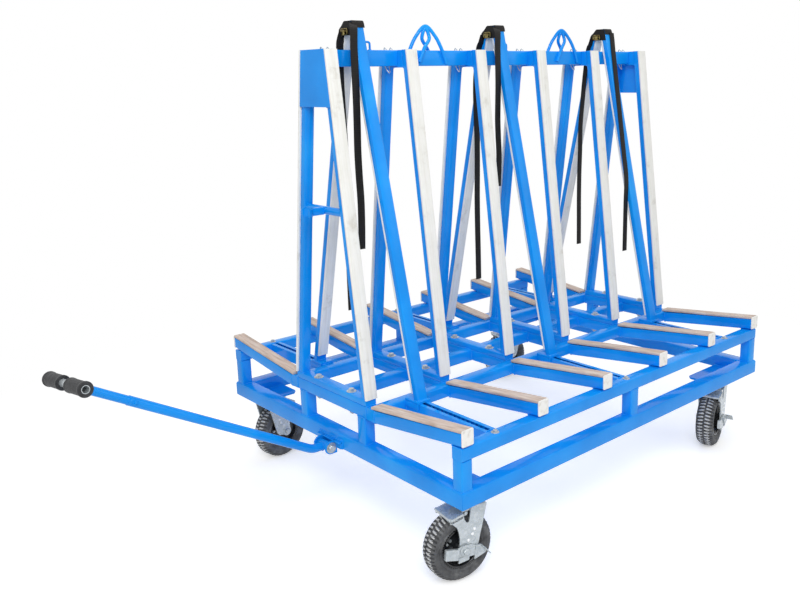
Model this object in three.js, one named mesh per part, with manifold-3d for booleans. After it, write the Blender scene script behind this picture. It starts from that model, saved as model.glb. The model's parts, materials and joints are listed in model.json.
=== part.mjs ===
// Sheet goods cart: a wheeled base with six A-frames, padded lean posts and
// arms, three pairs of sliding clamp poles and a tow bar.
// Millimetres, +Z up, X along the cart with the tow bar at -X, floor at Z = 0.
import * as THREE from 'three';
import { mergeVertices } from 'three/addons/utils/BufferGeometryUtils.js';
import Module from 'manifold-3d';

// Driving dimensions of the base
const baseLength = 1580;
const baseWidth = 1254;
const railSize = 50;
const railClearance = 258;
const tubeSize = 40;
const tubeInset = 5;
const shortPostHeight = 90;
const spineWidth = 40;
const endPostSpacing = 326;
const cornerPlateThickness = 8;
const cornerPlateBeyond = 79;
const cornerPlateWidth = 100;

// Driving dimensions of the A-frames
const frameCount = 6;
const leanDegrees = 7;
const postWidth = 32;
const postDepth = 25;
const ridgeHeight = 1508;
const ridgeHalfGap = 36;
const footTubeHeight = 20;
const footTubeOverhang = 2;
const railSeat = 4;
const gussetThickness = 6;
const gussetHeight = 168;
const padWidth = 44;
const padThickness = 8;
const armDepth = 40;
const armWidth = 38;
const armDrop = 2.35;

// Driving dimensions of the top rail and what is welded on it
const topRailHeight = 50;
const topRailDepth = 30;
const railEndClearance = 2;
const railBelowRidge = 1;
const crownFromFrame = 118;
const crownHeight = 84;
const crownRod = 12;
// Half of each crown rod: along the rail, share of the way out to the rail's face, height above the rail
const crownArch = [[71, 1, -42], [50, 1, 5], [30, 0.6, 46]];
const crownKnot = [[48, 1, -38], [26, 1, 4], [15, 0.86, 16], [-9, 0.38, 40]];
const tieLoopWidth = 32;
const tieLoopHeight = 28;
const tieLoopRod = 7;
const tieLoopFromBay = 28;

// Driving dimensions of the clamp poles and their straps
const poleFromBay = -25;
const poleWidth = 40;
const poleDepth = 20;
const poleTop = 1590;
const poleFootGap = 28.7;
const poleHeadGap = 1.2;
const polePadThickness = 8;
const shoeThickness = 8;
const shoeLength = 62;
const shoeCheek = 5;
const shoeCheekDrop = 18;
const strapWidth = 30;
const strapThickness = 3;
const strapWrap = 60;
const strapTails = [[-1, 896], [-1, 1034], [1, 720]];

// Driving dimensions of the castors
const swivelFromNearEnd = 93;
const swivelFromFarEnd = 165;
const swivelFromSide = 80;
const wheelRadius = 105;
const wheelWidth = 66;
const wheelTrail = 38;
const treadWidth = 34;
const shoulderDrop = 7;
const bulgeDrop = 18;
const beadRise = 10;
const beadInset = 4;
const rimRadius = 62;
const rimWidth = 54;
const rimWell = 8;
const rimLip = 5;
const rimDisc = 6;
const hubRadius = 21;
const axleRadius = 8;
const axleHead = 3;
const forkGap = 76;
const forkLeg = 5;
const forkEye = 18;
const forkReach = 48;
const crownPlate = 8;
const crownClearance = 8;
const racewayRadius = 38;
const pedalThickness = 4;
const pedalReach = 66;
const pedalDepth = 34;
const pedalLip = 16;
const pedalTipDrop = 7;
const pedalTipRise = 5;
const pedalHeelRise = 3;
const castorTurns = { near_front: 169, near_back: 8, far_front: 197, far_back: 165 };
const brakedCastors = ['near_front', 'far_front'];

// Driving dimensions of the tow bar
const towBarRadius = 14;
const towInnerRadius = 11.5;
const towTubeLength = 725;
const towBendRun = 42;
const towRestDegrees = 29.9;
const towLength = 824;
const hitchReach = 24;
const hitchHeight = 262.5;
const hitchNeck = 50;
const hitchPinRadius = 7;
const hitchPinHead = 7;
const hitchPinHeadRadius = 12;
const hitchEar = 6;
const hitchEarMargin = 7;
const hitchPlate = 6;
const hitchPlateWidth = 127;
const hitchPlateTop = 291;
const barrelRadius = 15;
const barrelLength = 56;
const handleRollDegrees = 7.7;
const handleHalfLength = 115;
const handleRadius = 11;
const gripRadius = 17;
const gripFlange = 21.5;
const gripFlangeWidth = 6;
const gripLength = 90;
const cradleHeight = 1013;
const rungRadius = 12.5;
const cradleStrip = 24;
const cradleThickness = 6;

// Gaps between pieces, and how far welded members run into each other
const weldLap = 2;
const seatLap = 1;
const seatGap = 0.3;
const runningGap = 0.8;
const cradleGap = 2;

// Finish of each kind of piece
const bluePaint = [0x1e80e8, 0.35, 0.0];
const creamRubber = [0xf2eee2, 0.75, 0.0];
const zincPlate = [0xbfc4c6, 0.35, 0.9];
const tyreRubber = [0x3c3e40, 0.85, 0.0];
const blackGrip = [0x26272a, 0.8, 0.0];
const blackEnamel = [0x1c1d1f, 0.5, 0.0];
const blackWebbing = [0x1a1716, 0.9, 0.0];

const wasm = await Module();
wasm.setup();

// Heights and lines that several pieces share
const halfLength = baseLength / 2;
const halfWidth = baseWidth / 2;
const railTop = railClearance + railSize;
const tubeBottom = railTop + shortPostHeight;
const tubeTop = tubeBottom + tubeSize;
const footTop = tubeTop + footTubeHeight;
const outerX = halfLength - tubeInset;
const outerY = halfWidth - tubeInset;
const sideInnerY = outerY - tubeSize;
const frameReach = outerX - tubeSize / 2;
const framePitch = (2 * frameReach) / (frameCount - 1);
const leanTan = Math.tan(THREE.MathUtils.degToRad(leanDegrees));
const leanCos = Math.cos(THREE.MathUtils.degToRad(leanDegrees));
const topRailTop = ridgeHeight - railBelowRidge;
const topRailBottom = topRailTop - topRailHeight;
const frameX = (index) => -frameReach + index * framePitch;
const bayX = (bay) => frameX(bay) + framePitch / 2;
const poleX = (bay) => bayX(bay) + poleFromBay;
const clampBays = [0, 2, 4];

// Inner and outer face of a lean post, as a distance from the middle plane
const postInner = (z) => ridgeHalfGap + (ridgeHeight - z) * leanTan;
const postOuter = (z) => postInner(z) + postDepth / leanCos;
const footHalf = postOuter(footTop) + footTubeOverhang;
const longTubeInner = footHalf;
const longTubeOuter = longTubeInner + tubeSize;

// Underside and top of an arm, which rises from beside the long tube to rest on the side rail
const armHeight = armDepth / leanCos;
const armTan = (seatGap + armHeight + armDrop) / (sideInnerY - longTubeOuter);
const armUnder = (y) => tubeTop + seatGap + (y - sideInnerY) * armTan;
const armTop = (y) => armUnder(y) + armHeight;

// Pad face, inner face and outer face of a clamp pole
const poleFootReach = longTubeOuter + poleFootGap;
const poleTan = (poleFootReach - poleHeadGap) / (poleTop - tubeTop);
const poleCos = 1 / Math.hypot(1, poleTan);
const polePadFace = (z) => poleHeadGap + (poleTop - z) * poleTan;
const poleInner = (z) => polePadFace(z) + polePadThickness / poleCos;
const poleOuter = (z) => poleInner(z) + poleDepth / poleCos;

// Where the castors turn, as the end of the cart and the distance from it
const castorEnds = [['near', -1, swivelFromNearEnd], ['far', 1, swivelFromFarEnd]];

function solidOf(geometry) {
  const plain = geometry.clone();
  plain.deleteAttribute('normal');
  plain.deleteAttribute('uv');
  const merged = mergeVertices(plain, 1e-3);
  const vertProperties = new Float32Array(merged.attributes.position.array);
  const triVerts = new Uint32Array(merged.index.array);
  return new wasm.Manifold(new wasm.Mesh({ numProp: 3, vertProperties, triVerts }));
}

function geometryOf(solid) {
  const mesh = solid.getMesh();
  const geometry = new THREE.BufferGeometry();
  const places = new Float32Array(mesh.numVert * 3);
  for (let vertex = 0; vertex < mesh.numVert; vertex += 1) {
    for (let axis = 0; axis < 3; axis += 1) {
      places[vertex * 3 + axis] = mesh.vertProperties[vertex * mesh.numProp + axis];
    }
  }
  geometry.setAttribute('position', new THREE.BufferAttribute(places, 3));
  geometry.setIndex(new THREE.BufferAttribute(new Uint32Array(mesh.triVerts), 1));
  geometry.computeVertexNormals();
  return geometry;
}

const weld = (...pieces) => geometryOf(pieces.map(solidOf).reduce((whole, piece) => whole.add(piece)));
const cut = (piece, ...tools) =>
  geometryOf(tools.map(solidOf).reduce((left, tool) => left.subtract(tool), solidOf(piece)));

// A box given by its two corners on each axis
function block(x0, x1, y0, y1, z0, z1) {
  const geometry = new THREE.BoxGeometry(x1 - x0, y1 - y0, z1 - z0);
  return geometry.translate((x0 + x1) / 2, (y0 + y1) / 2, (z0 + z1) / 2);
}

function outline(points) {
  return new THREE.Shape(points.map(([across, up]) => new THREE.Vector2(across, up)));
}

// A prism along X from an outline in Y and Z
function prismX(points, middle, width) {
  const geometry = new THREE.ExtrudeGeometry(outline(points), { depth: width, bevelEnabled: false });
  const turn = new THREE.Matrix4().makeBasis(
    new THREE.Vector3(0, 1, 0), new THREE.Vector3(0, 0, 1), new THREE.Vector3(1, 0, 0));
  return geometry.applyMatrix4(turn).translate(middle - width / 2, 0, 0);
}

// A prism along Y from an outline in X and Z
function prismY(shape, middle, width) {
  const geometry = new THREE.ExtrudeGeometry(shape, { depth: width, bevelEnabled: false, curveSegments: 8 });
  return geometry.rotateX(Math.PI / 2).translate(0, middle + width / 2, 0);
}

// A cylinder along Y
function barY(radius, length, x, y, z, sides = 20) {
  const geometry = new THREE.CylinderGeometry(radius, radius, length, sides);
  return geometry.translate(x, y, z);
}

// A round rod along a path
function rod(path, radius, steps, sides) {
  const section = new THREE.Shape();
  section.absarc(0, 0, radius, 0, 2 * Math.PI);
  const settings = { steps, extrudePath: path, curveSegments: sides / 2, bevelEnabled: false };
  return new THREE.ExtrudeGeometry(section, settings);
}

function piece(name, geometry, [colour, roughness, metalness]) {
  const material = new THREE.MeshStandardMaterial({ color: colour, roughness, metalness });
  const mesh = new THREE.Mesh(geometry, material);
  mesh.name = name;
  return mesh;
}

// Turns an outline on the front side (distance from the middle plane) to one side of the cart
const onSide = (points, side) => {
  const placed = points.map(([away, up]) => [side * away, up]);
  return side < 0 ? placed : placed.reverse();
};
const sides = [['front', -1], ['back', 1]];

// Base: the bottom rectangle with a castor plate in each corner
function bottomFrame() {
  const outer = block(-halfLength, halfLength, -halfWidth, halfWidth, railClearance, railTop);
  const innerX = halfLength - railSize;
  const innerY = halfWidth - railSize;
  const window = block(-innerX, innerX, -innerY, innerY, railClearance - 1, railTop + 1);
  const plates = [];
  for (const [, endSign, fromEnd] of castorEnds) {
    const plateEnd = halfLength - fromEnd - cornerPlateBeyond;
    for (const sideSign of [-1, 1]) {
      const xs = [endSign * (innerX + 1), endSign * plateEnd].sort((a, b) => a - b);
      const ys = [sideSign * (innerY + 1), sideSign * (innerY - cornerPlateWidth)].sort((a, b) => a - b);
      plates.push(block(...xs, ...ys, railClearance, railClearance + cornerPlateThickness));
    }
  }
  return weld(cut(outer, window), ...plates);
}

// Base: an upper side rail on three short posts
function sideFrame(side) {
  const ys = [side * outerY, side * sideInnerY].sort((a, b) => a - b);
  const rail = block(-outerX, outerX, ...ys, tubeBottom, tubeTop);
  const posts = [-outerX, -tubeSize / 2, outerX - tubeSize].map((x) =>
    block(x, x + tubeSize, ...ys, railTop, tubeBottom + 1));
  return weld(rail, ...posts);
}

// Base: a long tube beside the A-frame feet, with the arms and the pole tracks
function trackFrame(side) {
  const ys = [side * longTubeInner, side * longTubeOuter].sort((a, b) => a - b);
  const longTube = block(-outerX, outerX, ...ys, tubeBottom, tubeTop);
  const armStart = longTubeOuter - weldLap;
  const armLow = tubeBottom + weldLap;
  const armOutline = onSide([
    [armStart, armLow], [armStart, armTop(armStart)], [outerY, armTop(outerY)],
    [outerY, armUnder(outerY)], [longTubeOuter, armLow],
  ], side);
  const arms = Array.from({ length: frameCount }, (_, index) =>
    prismX(armOutline, frameX(index), armWidth));
  const trackEnds = [side * (longTubeOuter - weldLap), side * (sideInnerY - seatGap)].sort((a, b) => a - b);
  const tracks = clampBays.map((bay) =>
    block(poleX(bay) - tubeSize / 2, poleX(bay) + tubeSize / 2, ...trackEnds, tubeBottom, tubeTop));
  return weld(longTube, ...tracks, ...arms);
}

// Base: the cross tube at one end, on two short posts
function endTrestle(index) {
  const x = frameX(index);
  const half = tubeSize / 2;
  const beam = block(x - half, x + half, -longTubeInner, longTubeInner, tubeBottom, tubeTop);
  const posts = [-1, 1].map((side) => {
    const y = (side * endPostSpacing) / 2;
    return block(x - half, x + half, y - half, y + half, railTop, tubeBottom + 1);
  });
  return weld(beam, ...posts);
}

// Base: the spine along the middle with the inner cross tubes
function deckSpine() {
  const reach = frameReach - tubeSize / 2;
  const spine = block(-reach, reach, -spineWidth / 2, spineWidth / 2, tubeBottom, tubeTop);
  const crossTubes = Array.from({ length: frameCount - 2 }, (_, index) => {
    const x = frameX(index + 1);
    return block(x - tubeSize / 2, x + tubeSize / 2, -longTubeInner, longTubeInner, tubeBottom, tubeTop);
  });
  return weld(spine, ...crossTubes);
}

// One A-frame: two lean posts on a foot tube, with a seat for the top rail between the posts
function aFrame(index) {
  const x = frameX(index);
  const under = footTop - seatLap;
  const postOutline = [
    [postInner(under), under], [postOuter(under), under],
    [postOuter(ridgeHeight), ridgeHeight], [postInner(ridgeHeight), ridgeHeight],
  ];
  const parts = sides.map(([, side]) => prismX(onSide(postOutline, side), x, postWidth));
  parts.push(block(x - tubeSize / 2, x + tubeSize / 2, -footHalf, footHalf, tubeTop, footTop));
  const seatTop = topRailBottom - seatGap;
  const seatLow = seatTop - railSeat;
  const seatReach = postInner(seatTop) + weldLap;
  parts.push(block(x - postWidth / 2, x + postWidth / 2, -seatReach, seatReach, seatLow, seatTop));
  const spacerInner = topRailDepth / 2 + seatGap;
  const spacerLow = seatTop - seatLap;
  const spacer = [
    [spacerInner, spacerLow], [postInner(spacerLow) + weldLap, spacerLow],
    [postInner(topRailTop) + weldLap, topRailTop], [spacerInner, topRailTop],
  ];
  parts.push(...sides.map(([, side]) => prismX(onSide(spacer, side), x, postWidth)));
  const atNearEnd = index === 0;
  if (atNearEnd || index === frameCount - 1) {
    parts.push(gusset(x + (atNearEnd ? -1 : 1) * (postWidth + gussetThickness - 1) / 2));
  }
  if (atNearEnd) {
    parts.push(...handleCradle(x));
  }
  return weld(...parts);
}

// The plate that ties the two posts of an end frame together at the top
function gusset(x) {
  const low = ridgeHeight - gussetHeight;
  const halfTop = postOuter(ridgeHeight);
  const halfLow = postOuter(low);
  const plate = [[-halfLow, low], [halfLow, low], [halfTop, ridgeHeight], [-halfTop, ridgeHeight]];
  return prismX(plate, x, gussetThickness);
}

// Where the tow bar stands when it is swung upright
const hitchX = -halfLength - hitchReach;
const towTilt = THREE.MathUtils.degToRad(towRestDegrees);
const uprightBarX = hitchX - hitchNeck * Math.sin(towTilt);

// The round rung between the near posts and the half-round cradle that catches the upright tow bar
function handleCradle(x) {
  const middle = cradleHeight + rungRadius;
  const reach = postInner(middle) + postDepth / 2;
  const rung = barY(rungRadius, 2 * reach, x, 0, middle);
  const low = middle - cradleStrip / 2;
  const inner = towBarRadius + cradleGap;
  const outer = inner + cradleThickness;
  const ring = new THREE.Shape();
  ring.absarc(0, 0, outer, -Math.PI / 2, Math.PI / 2, false);
  ring.absarc(0, 0, inner, Math.PI / 2, -Math.PI / 2, true);
  const settings = { depth: cradleStrip, bevelEnabled: false, curveSegments: 10 };
  const cradle = new THREE.ExtrudeGeometry(ring, settings);
  cradle.translate(uprightBarX, 0, low);
  const stemStart = uprightBarX + inner + cradleThickness / 2;
  const stem = block(stemStart, x, -cradleThickness, cradleThickness, low, low + cradleStrip);
  return [rung, cradle, stem];
}

// The padding of one post and its arm: lean pad, arm strip and the cap on the arm's end
function framePad(index, side) {
  const inner = (z) => postOuter(z) + seatGap / leanCos;
  const outer = (z) => inner(z) + padThickness / leanCos;
  const stripUnder = (y) => armTop(y) + seatGap;
  const stripTop = (y) => stripUnder(y) + padThickness / leanCos;
  const floorLine = tubeTop + seatGap;
  const floorEnd = longTubeOuter + (floorLine - stripUnder(longTubeOuter)) / armTan;
  const capInner = outerY + seatGap;
  const footStart = footHalf + seatGap;
  const footCorner = footTop + seatGap;
  const cornerY = (outer(ridgeHeight) + (ridgeHeight - stripTop(0)) * leanTan) / (1 + leanTan * armTan);
  const points = [
    [inner(ridgeHeight), ridgeHeight], [inner(footCorner), footCorner], [footStart, footCorner],
    [footStart, floorLine], [floorEnd, floorLine], [capInner, stripUnder(capInner)],
    [capInner, armUnder(capInner)], [halfWidth, armUnder(halfWidth)], [halfWidth, stripTop(halfWidth)],
    [cornerY, stripTop(cornerY)], [outer(ridgeHeight), ridgeHeight],
  ];
  return prismX(onSide(points.reverse(), side), frameX(index), padWidth);
}

// The rail along the ridge, held in the saddles
function topRail() {
  const reach = frameReach + postWidth / 2 - railEndClearance;
  return block(-reach, reach, -topRailDepth / 2, topRailDepth / 2, topRailBottom, topRailTop);
}

// A lifting crown: a wide arch and a knotted loop bent over the rail, crossing at the top
function liftingCrown(x) {
  const face = topRailDepth / 2 + crownRod / 2 + seatGap;
  const top = crownHeight - crownRod / 2;
  const bent = (half, turn, height, steps) => {
    const at = (way, [along, share, up]) =>
      new THREE.Vector3(x + way * turn * along, -way * share * face, topRailTop + up);
    const near = half.map((point) => at(1, point));
    const away = half.map((point) => at(-1, point)).reverse();
    const path = new THREE.CatmullRomCurve3([...near, new THREE.Vector3(x, 0, topRailTop + height), ...away]);
    return rod(path, crownRod / 2, steps, 8);
  };
  return weld(bent(crownArch, 1, top, 30), bent(crownKnot, -1, top - crownRod / 2, 52));
}

// A small wire loop standing on the rail, for a line or a strap end
function tieLoop(x) {
  const half = tieLoopWidth / 2 - tieLoopRod / 2;
  const foot = topRailTop + seatGap;
  const top = topRailTop + tieLoopHeight - tieLoopRod / 2;
  const corner = tieLoopRod;
  const path = new THREE.CurvePath();
  const at = (across, up) => new THREE.Vector3(x + across, 0, up);
  path.add(new THREE.LineCurve3(at(-half, foot), at(-half, top - corner)));
  path.add(new THREE.QuadraticBezierCurve3(at(-half, top - corner), at(-half, top), at(-half + corner, top)));
  path.add(new THREE.LineCurve3(at(-half + corner, top), at(half - corner, top)));
  path.add(new THREE.QuadraticBezierCurve3(at(half - corner, top), at(half, top), at(half, top - corner)));
  path.add(new THREE.LineCurve3(at(half, top - corner), at(half, foot)));
  return rod(path, tieLoopRod / 2, 20, 8);
}

// A clamp pole: a leaning tube with a pad on its inner face and a shoe on the track
function clampPole(bay, side) {
  const x = poleX(bay);
  const shoeTop = tubeTop + seatGap + shoeThickness;
  const tubeStart = shoeTop - seatLap;
  const padStart = footTop + padThickness;
  const tube = onSide([
    [poleInner(tubeStart), tubeStart], [poleOuter(tubeStart), tubeStart],
    [poleOuter(poleTop), poleTop], [poleInner(poleTop), poleTop],
  ], side);
  const lining = onSide([
    [polePadFace(padStart), padStart], [poleInner(padStart) + 1, padStart],
    [poleInner(poleTop) + 1, poleTop], [polePadFace(poleTop), poleTop],
  ], side);
  const shoeStart = longTubeOuter + seatGap;
  const shoeYs = [side * shoeStart, side * (shoeStart + shoeLength)].sort((a, b) => a - b);
  const shoeHalf = tubeSize / 2 + runningGap + shoeCheek;
  const plate = block(x - shoeHalf, x + shoeHalf, ...shoeYs, tubeTop + seatGap, shoeTop);
  const cheeks = [-1, 1].map((way) => {
    const edges = [way * shoeHalf, way * (shoeHalf - shoeCheek)].sort((a, b) => a - b);
    return block(x + edges[0], x + edges[1], ...shoeYs, tubeTop - shoeCheekDrop, shoeTop);
  });
  return weld(prismX(tube, x, poleWidth), prismX(lining, x, poleWidth), plate, ...cheeks);
}

// A webbing strap over the head of a front pole, with its tail hanging beside the pole
function strap(bay, [way, tailEnd]) {
  const x = poleX(bay);
  const face = (z) => poleOuter(z) + seatGap;
  const top = poleTop + seatGap;
  const wrapEnd = poleTop - strapWrap;
  const start = poleInner(poleTop);
  const over = onSide([
    [start, top], [face(top), top], [face(wrapEnd), wrapEnd], [face(wrapEnd) + strapThickness, wrapEnd],
    [face(top) + strapThickness, top + strapThickness], [start, top + strapThickness],
  ], -1);
  const band = onSide([
    [face(poleTop), poleTop], [face(wrapEnd), wrapEnd], [face(wrapEnd) + strapThickness, wrapEnd],
    [face(poleTop) + strapThickness, poleTop],
  ], -1);
  const tailStart = poleWidth / 2 + runningGap;
  const tailXs = [x + way * tailStart, x + way * (tailStart + strapWidth)].sort((a, b) => a - b);
  const tailY = face(wrapEnd) + strapThickness;
  const tail = block(...tailXs, -tailY, -tailY + strapThickness, tailEnd, poleTop - strapThickness);
  const bandWidth = tailStart + strapWidth + strapWidth / 2;
  const bandMiddle = x + way * (tailStart + strapWidth - bandWidth / 2);
  return weld(prismX(over, x, strapWidth), prismX(band, bandMiddle, bandWidth), tail);
}

// Castor fork in its own frame: swivel axis at the origin, wheel behind it at -X, axle along Y
function castorFork(braked) {
  const crownLow = 2 * wheelRadius + crownClearance;
  const legHalf = forkGap / 2 + forkLeg;
  const leg = new THREE.Shape();
  leg.moveTo(-wheelTrail - forkEye, wheelRadius);
  leg.absarc(-wheelTrail, wheelRadius, forkEye, Math.PI, 2 * Math.PI, false);
  leg.lineTo(forkReach, crownLow + crownPlate);
  leg.lineTo(-forkReach, crownLow + crownPlate);
  const legs = [-1, 1].map((side) => prismY(leg, side * (legHalf - forkLeg / 2), forkLeg));
  const crown = block(-forkReach, forkReach, -legHalf, legHalf, crownLow, crownLow + crownPlate);
  const stackLow = crownLow + crownPlate - seatLap;
  const stackTop = railClearance - seatGap;
  const raceway = new THREE.CylinderGeometry(racewayRadius, racewayRadius, stackTop - stackLow, 28);
  raceway.rotateX(Math.PI / 2).translate(0, 0, (stackTop + stackLow) / 2);
  const pedalRoom = braked ? pedalThickness + 2 * seatGap : 0;
  const axleFront = legHalf + pedalRoom + axleHead;
  const axleBack = legHalf + axleHead;
  const axle = barY(axleRadius, axleFront + axleBack, -wheelTrail, (axleBack - axleFront) / 2, wheelRadius);
  return weld(...legs, crown, raceway, axle);
}

const wheelSides = 36;
const onFacet = 1 / Math.cos(Math.PI / wheelSides);

// A ring turned about the axle from a closed outline of radius and distance along the axle
function turned(points) {
  const profile = points.map(([radius, along]) => new THREE.Vector2(radius, along));
  const ring = new THREE.LatheGeometry([...profile, profile[0]], wheelSides);
  return ring.rotateY(Math.PI / wheelSides).translate(-wheelTrail, 0, wheelRadius);
}

// Turns half an outline, given from the middle of the wheel's width outward, on both sides
const turnedBothSides = (half) =>
  turned([...half.map(([radius, along]) => [radius, -along]), ...half.slice().reverse()]);

function tyre() {
  const outer = wheelRadius * onFacet;
  const half = wheelWidth / 2;
  const inner = (rimRadius + seatGap) * onFacet;
  const shoulder = (half + treadWidth / 2) / 2;
  return turnedBothSides([
    [inner, rimWidth / 2 - beadInset], [inner + beadRise, half - beadInset], [outer - bulgeDrop, half],
    [outer - shoulderDrop, shoulder], [outer, treadWidth / 2],
  ]);
}

function rim() {
  const half = rimWidth / 2;
  const bore = (axleRadius + runningGap) * onFacet;
  const hubHalf = forkGap / 2 - runningGap;
  return turnedBothSides([
    [bore, hubHalf], [hubRadius, hubHalf], [hubRadius, rimDisc], [rimRadius - rimWell, rimDisc],
    [rimRadius - rimLip, half], [rimRadius, half],
  ]);
}

// The brake pedal, a stamped plate that turns on the axle's end
function brakePedal() {
  const plate = new THREE.Shape();
  const half = pedalDepth / 2;
  plate.moveTo(-wheelTrail - pedalReach, wheelRadius - half);
  plate.lineTo(-wheelTrail + pedalReach, wheelRadius - pedalTipDrop);
  plate.lineTo(-wheelTrail + pedalReach, wheelRadius + pedalTipRise);
  plate.lineTo(-wheelTrail, wheelRadius + half);
  plate.lineTo(-wheelTrail - pedalReach, wheelRadius + pedalHeelRise);
  const hole = new THREE.Path();
  hole.absarc(-wheelTrail, wheelRadius, axleRadius + runningGap, 0, 2 * Math.PI, true);
  plate.holes.push(hole);
  const faceY = forkGap / 2 + forkLeg + seatGap;
  const body = prismY(plate, -faceY - pedalThickness / 2, pedalThickness);
  const lipX = -wheelTrail + pedalReach;
  const lip = block(lipX - pedalThickness, lipX, -faceY - pedalLip, -faceY - 1,
    wheelRadius - pedalTipDrop, wheelRadius + pedalTipRise);
  return weld(body, lip);
}

// Hitch: a plate on the outer face of the near end rail with two ears, and the pin across them
const earFace = barrelLength / 2 + runningGap;

function hitchBracket() {
  const face = -halfLength - seatGap;
  const nose = barrelRadius + hitchEarMargin;
  const low = hitchHeight - nose;
  const ear = new THREE.Shape();
  ear.moveTo(face - 1, low);
  ear.lineTo(face - 1, hitchHeight + nose);
  ear.lineTo(hitchX, hitchHeight + nose);
  ear.absarc(hitchX, hitchHeight, nose, Math.PI / 2, 1.5 * Math.PI, false);
  const hole = new THREE.Path();
  hole.absarc(hitchX, hitchHeight, hitchPinRadius + seatGap, 0, 2 * Math.PI, true);
  ear.holes.push(hole);
  const ears = [-1, 1].map((side) => prismY(ear, side * (earFace + hitchEar / 2), hitchEar));
  const plateHalf = hitchPlateWidth / 2;
  const plate = block(face - hitchPlate, face, -plateHalf, plateHalf, low - 1, hitchPlateTop);
  return weld(plate, ...ears);
}

function hitchPin() {
  const outside = earFace + hitchEar + seatGap;
  const shank = barY(hitchPinRadius, 2 * (outside + seatLap), hitchX, 0, hitchHeight);
  const heads = [-1, 1].map((side) =>
    barY(hitchPinHeadRadius, hitchPinHead, hitchX, side * (outside + hitchPinHead / 2), hitchHeight, 6));
  return weld(shank, ...heads);
}

// Tow bar: a bent tube with an eye at the hitch, an inner tube and a cross handle
const bend = new THREE.Vector3(hitchX - hitchNeck, 0, hitchHeight);
const towWay = new THREE.Vector3(-Math.cos(towTilt), 0, Math.sin(towTilt));
const alongBar = (distance) => bend.clone().addScaledVector(towWay, distance);
const handleRoll = new THREE.Matrix4().makeRotationAxis(towWay, THREE.MathUtils.degToRad(handleRollDegrees));
const onHandle = (geometry) =>
  geometry.applyMatrix4(handleRoll).translate(...alongBar(towLength).toArray());

function towBar() {
  const start = new THREE.Vector3(hitchX - barrelRadius + weldLap * 2, 0, hitchHeight);
  const bendIn = new THREE.Vector3(bend.x + towBendRun / 3, 0, hitchHeight);
  const path = new THREE.CurvePath();
  path.add(new THREE.LineCurve3(start, bendIn));
  path.add(new THREE.QuadraticBezierCurve3(bendIn, bend, alongBar(towBendRun / 2)));
  path.add(new THREE.LineCurve3(alongBar(towBendRun / 2), alongBar(towTubeLength)));
  const tube = rod(path, towBarRadius, 48, 14);
  const innerPath = new THREE.LineCurve3(alongBar(towTubeLength - towBarRadius), alongBar(towLength));
  const innerTube = rod(innerPath, towInnerRadius, 4, 14);
  const barrel = barY(barrelRadius, barrelLength, hitchX, 0, hitchHeight, 24);
  const handle = onHandle(barY(handleRadius, 2 * handleHalfLength, 0, 0, 0, 18));
  const bore = barY(hitchPinRadius + runningGap, barrelLength + 2 * seatLap, hitchX, 0, hitchHeight, 20);
  return cut(weld(tube, innerTube, barrel, handle), bore);
}

const gripSides = 24;

function grip(side) {
  const inner = (handleRadius + seatGap) / Math.cos(Math.PI / gripSides);
  const half = gripLength / 2;
  const flangeStart = half - gripFlangeWidth;
  const taperStart = flangeStart - (gripFlange - gripRadius);
  const profile = [
    [inner, -half], [gripFlange, -half], [gripFlange, -flangeStart], [gripRadius, -taperStart],
    [gripRadius, taperStart], [gripFlange, flangeStart], [gripFlange, half], [inner, half],
  ].map(([radius, along]) => new THREE.Vector2(radius, along));
  const ring = new THREE.LatheGeometry([...profile, profile[0]], gripSides);
  return onHandle(ring.translate(0, side * (handleHalfLength - half), 0));
}

// The cart, put together with its origin under the middle of its whole length
const cart = new THREE.Group();
const add = (name, geometry, finish) => cart.add(piece(name, geometry, finish));

add('bottom_frame', bottomFrame(), bluePaint);
add('end_trestle_near', endTrestle(0), bluePaint);
add('end_trestle_far', endTrestle(frameCount - 1), bluePaint);
add('deck_spine', deckSpine(), bluePaint);
for (const [sideName, side] of sides) {
  add(`side_frame_${sideName}`, sideFrame(side), bluePaint);
  add(`track_frame_${sideName}`, trackFrame(side), bluePaint);
}
for (let index = 0; index < frameCount; index += 1) {
  add(`a_frame_${index + 1}`, aFrame(index), bluePaint);
  for (const [sideName, side] of sides) {
    add(`pad_${sideName}_${index + 1}`, framePad(index, side), creamRubber);
  }
}
add('top_rail', topRail(), bluePaint);
add('lifting_crown_near', liftingCrown(frameX(1) + crownFromFrame), bluePaint);
add('lifting_crown_far', liftingCrown(frameX(frameCount - 2) - crownFromFrame), bluePaint);
clampBays.forEach((bay, pair) => {
  add(`tie_loop_${pair + 1}`, tieLoop(bayX(bay) + tieLoopFromBay), bluePaint);
  for (const [sideName, side] of sides) {
    add(`clamp_pole_${sideName}_${pair + 1}`, clampPole(bay, side), bluePaint);
  }
  add(`strap_${pair + 1}`, strap(bay, strapTails[pair]), blackWebbing);
});

for (const [endName, endSign, fromEnd] of castorEnds) {
  for (const [sideName, side] of sides) {
    const corner = `${endName}_${sideName}`;
    const braked = brakedCastors.includes(corner);
    const castor = new THREE.Group();
    castor.position.set(endSign * (halfLength - fromEnd), side * (halfWidth - swivelFromSide), 0);
    castor.rotation.z = THREE.MathUtils.degToRad(castorTurns[corner] - 180);
    castor.add(piece(`castor_fork_${corner}`, castorFork(braked), zincPlate));
    castor.add(piece(`tyre_${corner}`, tyre(), tyreRubber));
    castor.add(piece(`rim_${corner}`, rim(), blackEnamel));
    if (braked) {
      castor.add(piece(`brake_pedal_${corner}`, brakePedal(), zincPlate));
    }
    cart.add(castor);
  }
}

add('hitch_bracket', hitchBracket(), bluePaint);
add('hitch_pin', hitchPin(), zincPlate);
add('tow_bar', towBar(), bluePaint);
add('grip_front', grip(-1), blackGrip);
add('grip_back', grip(1), blackGrip);

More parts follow.
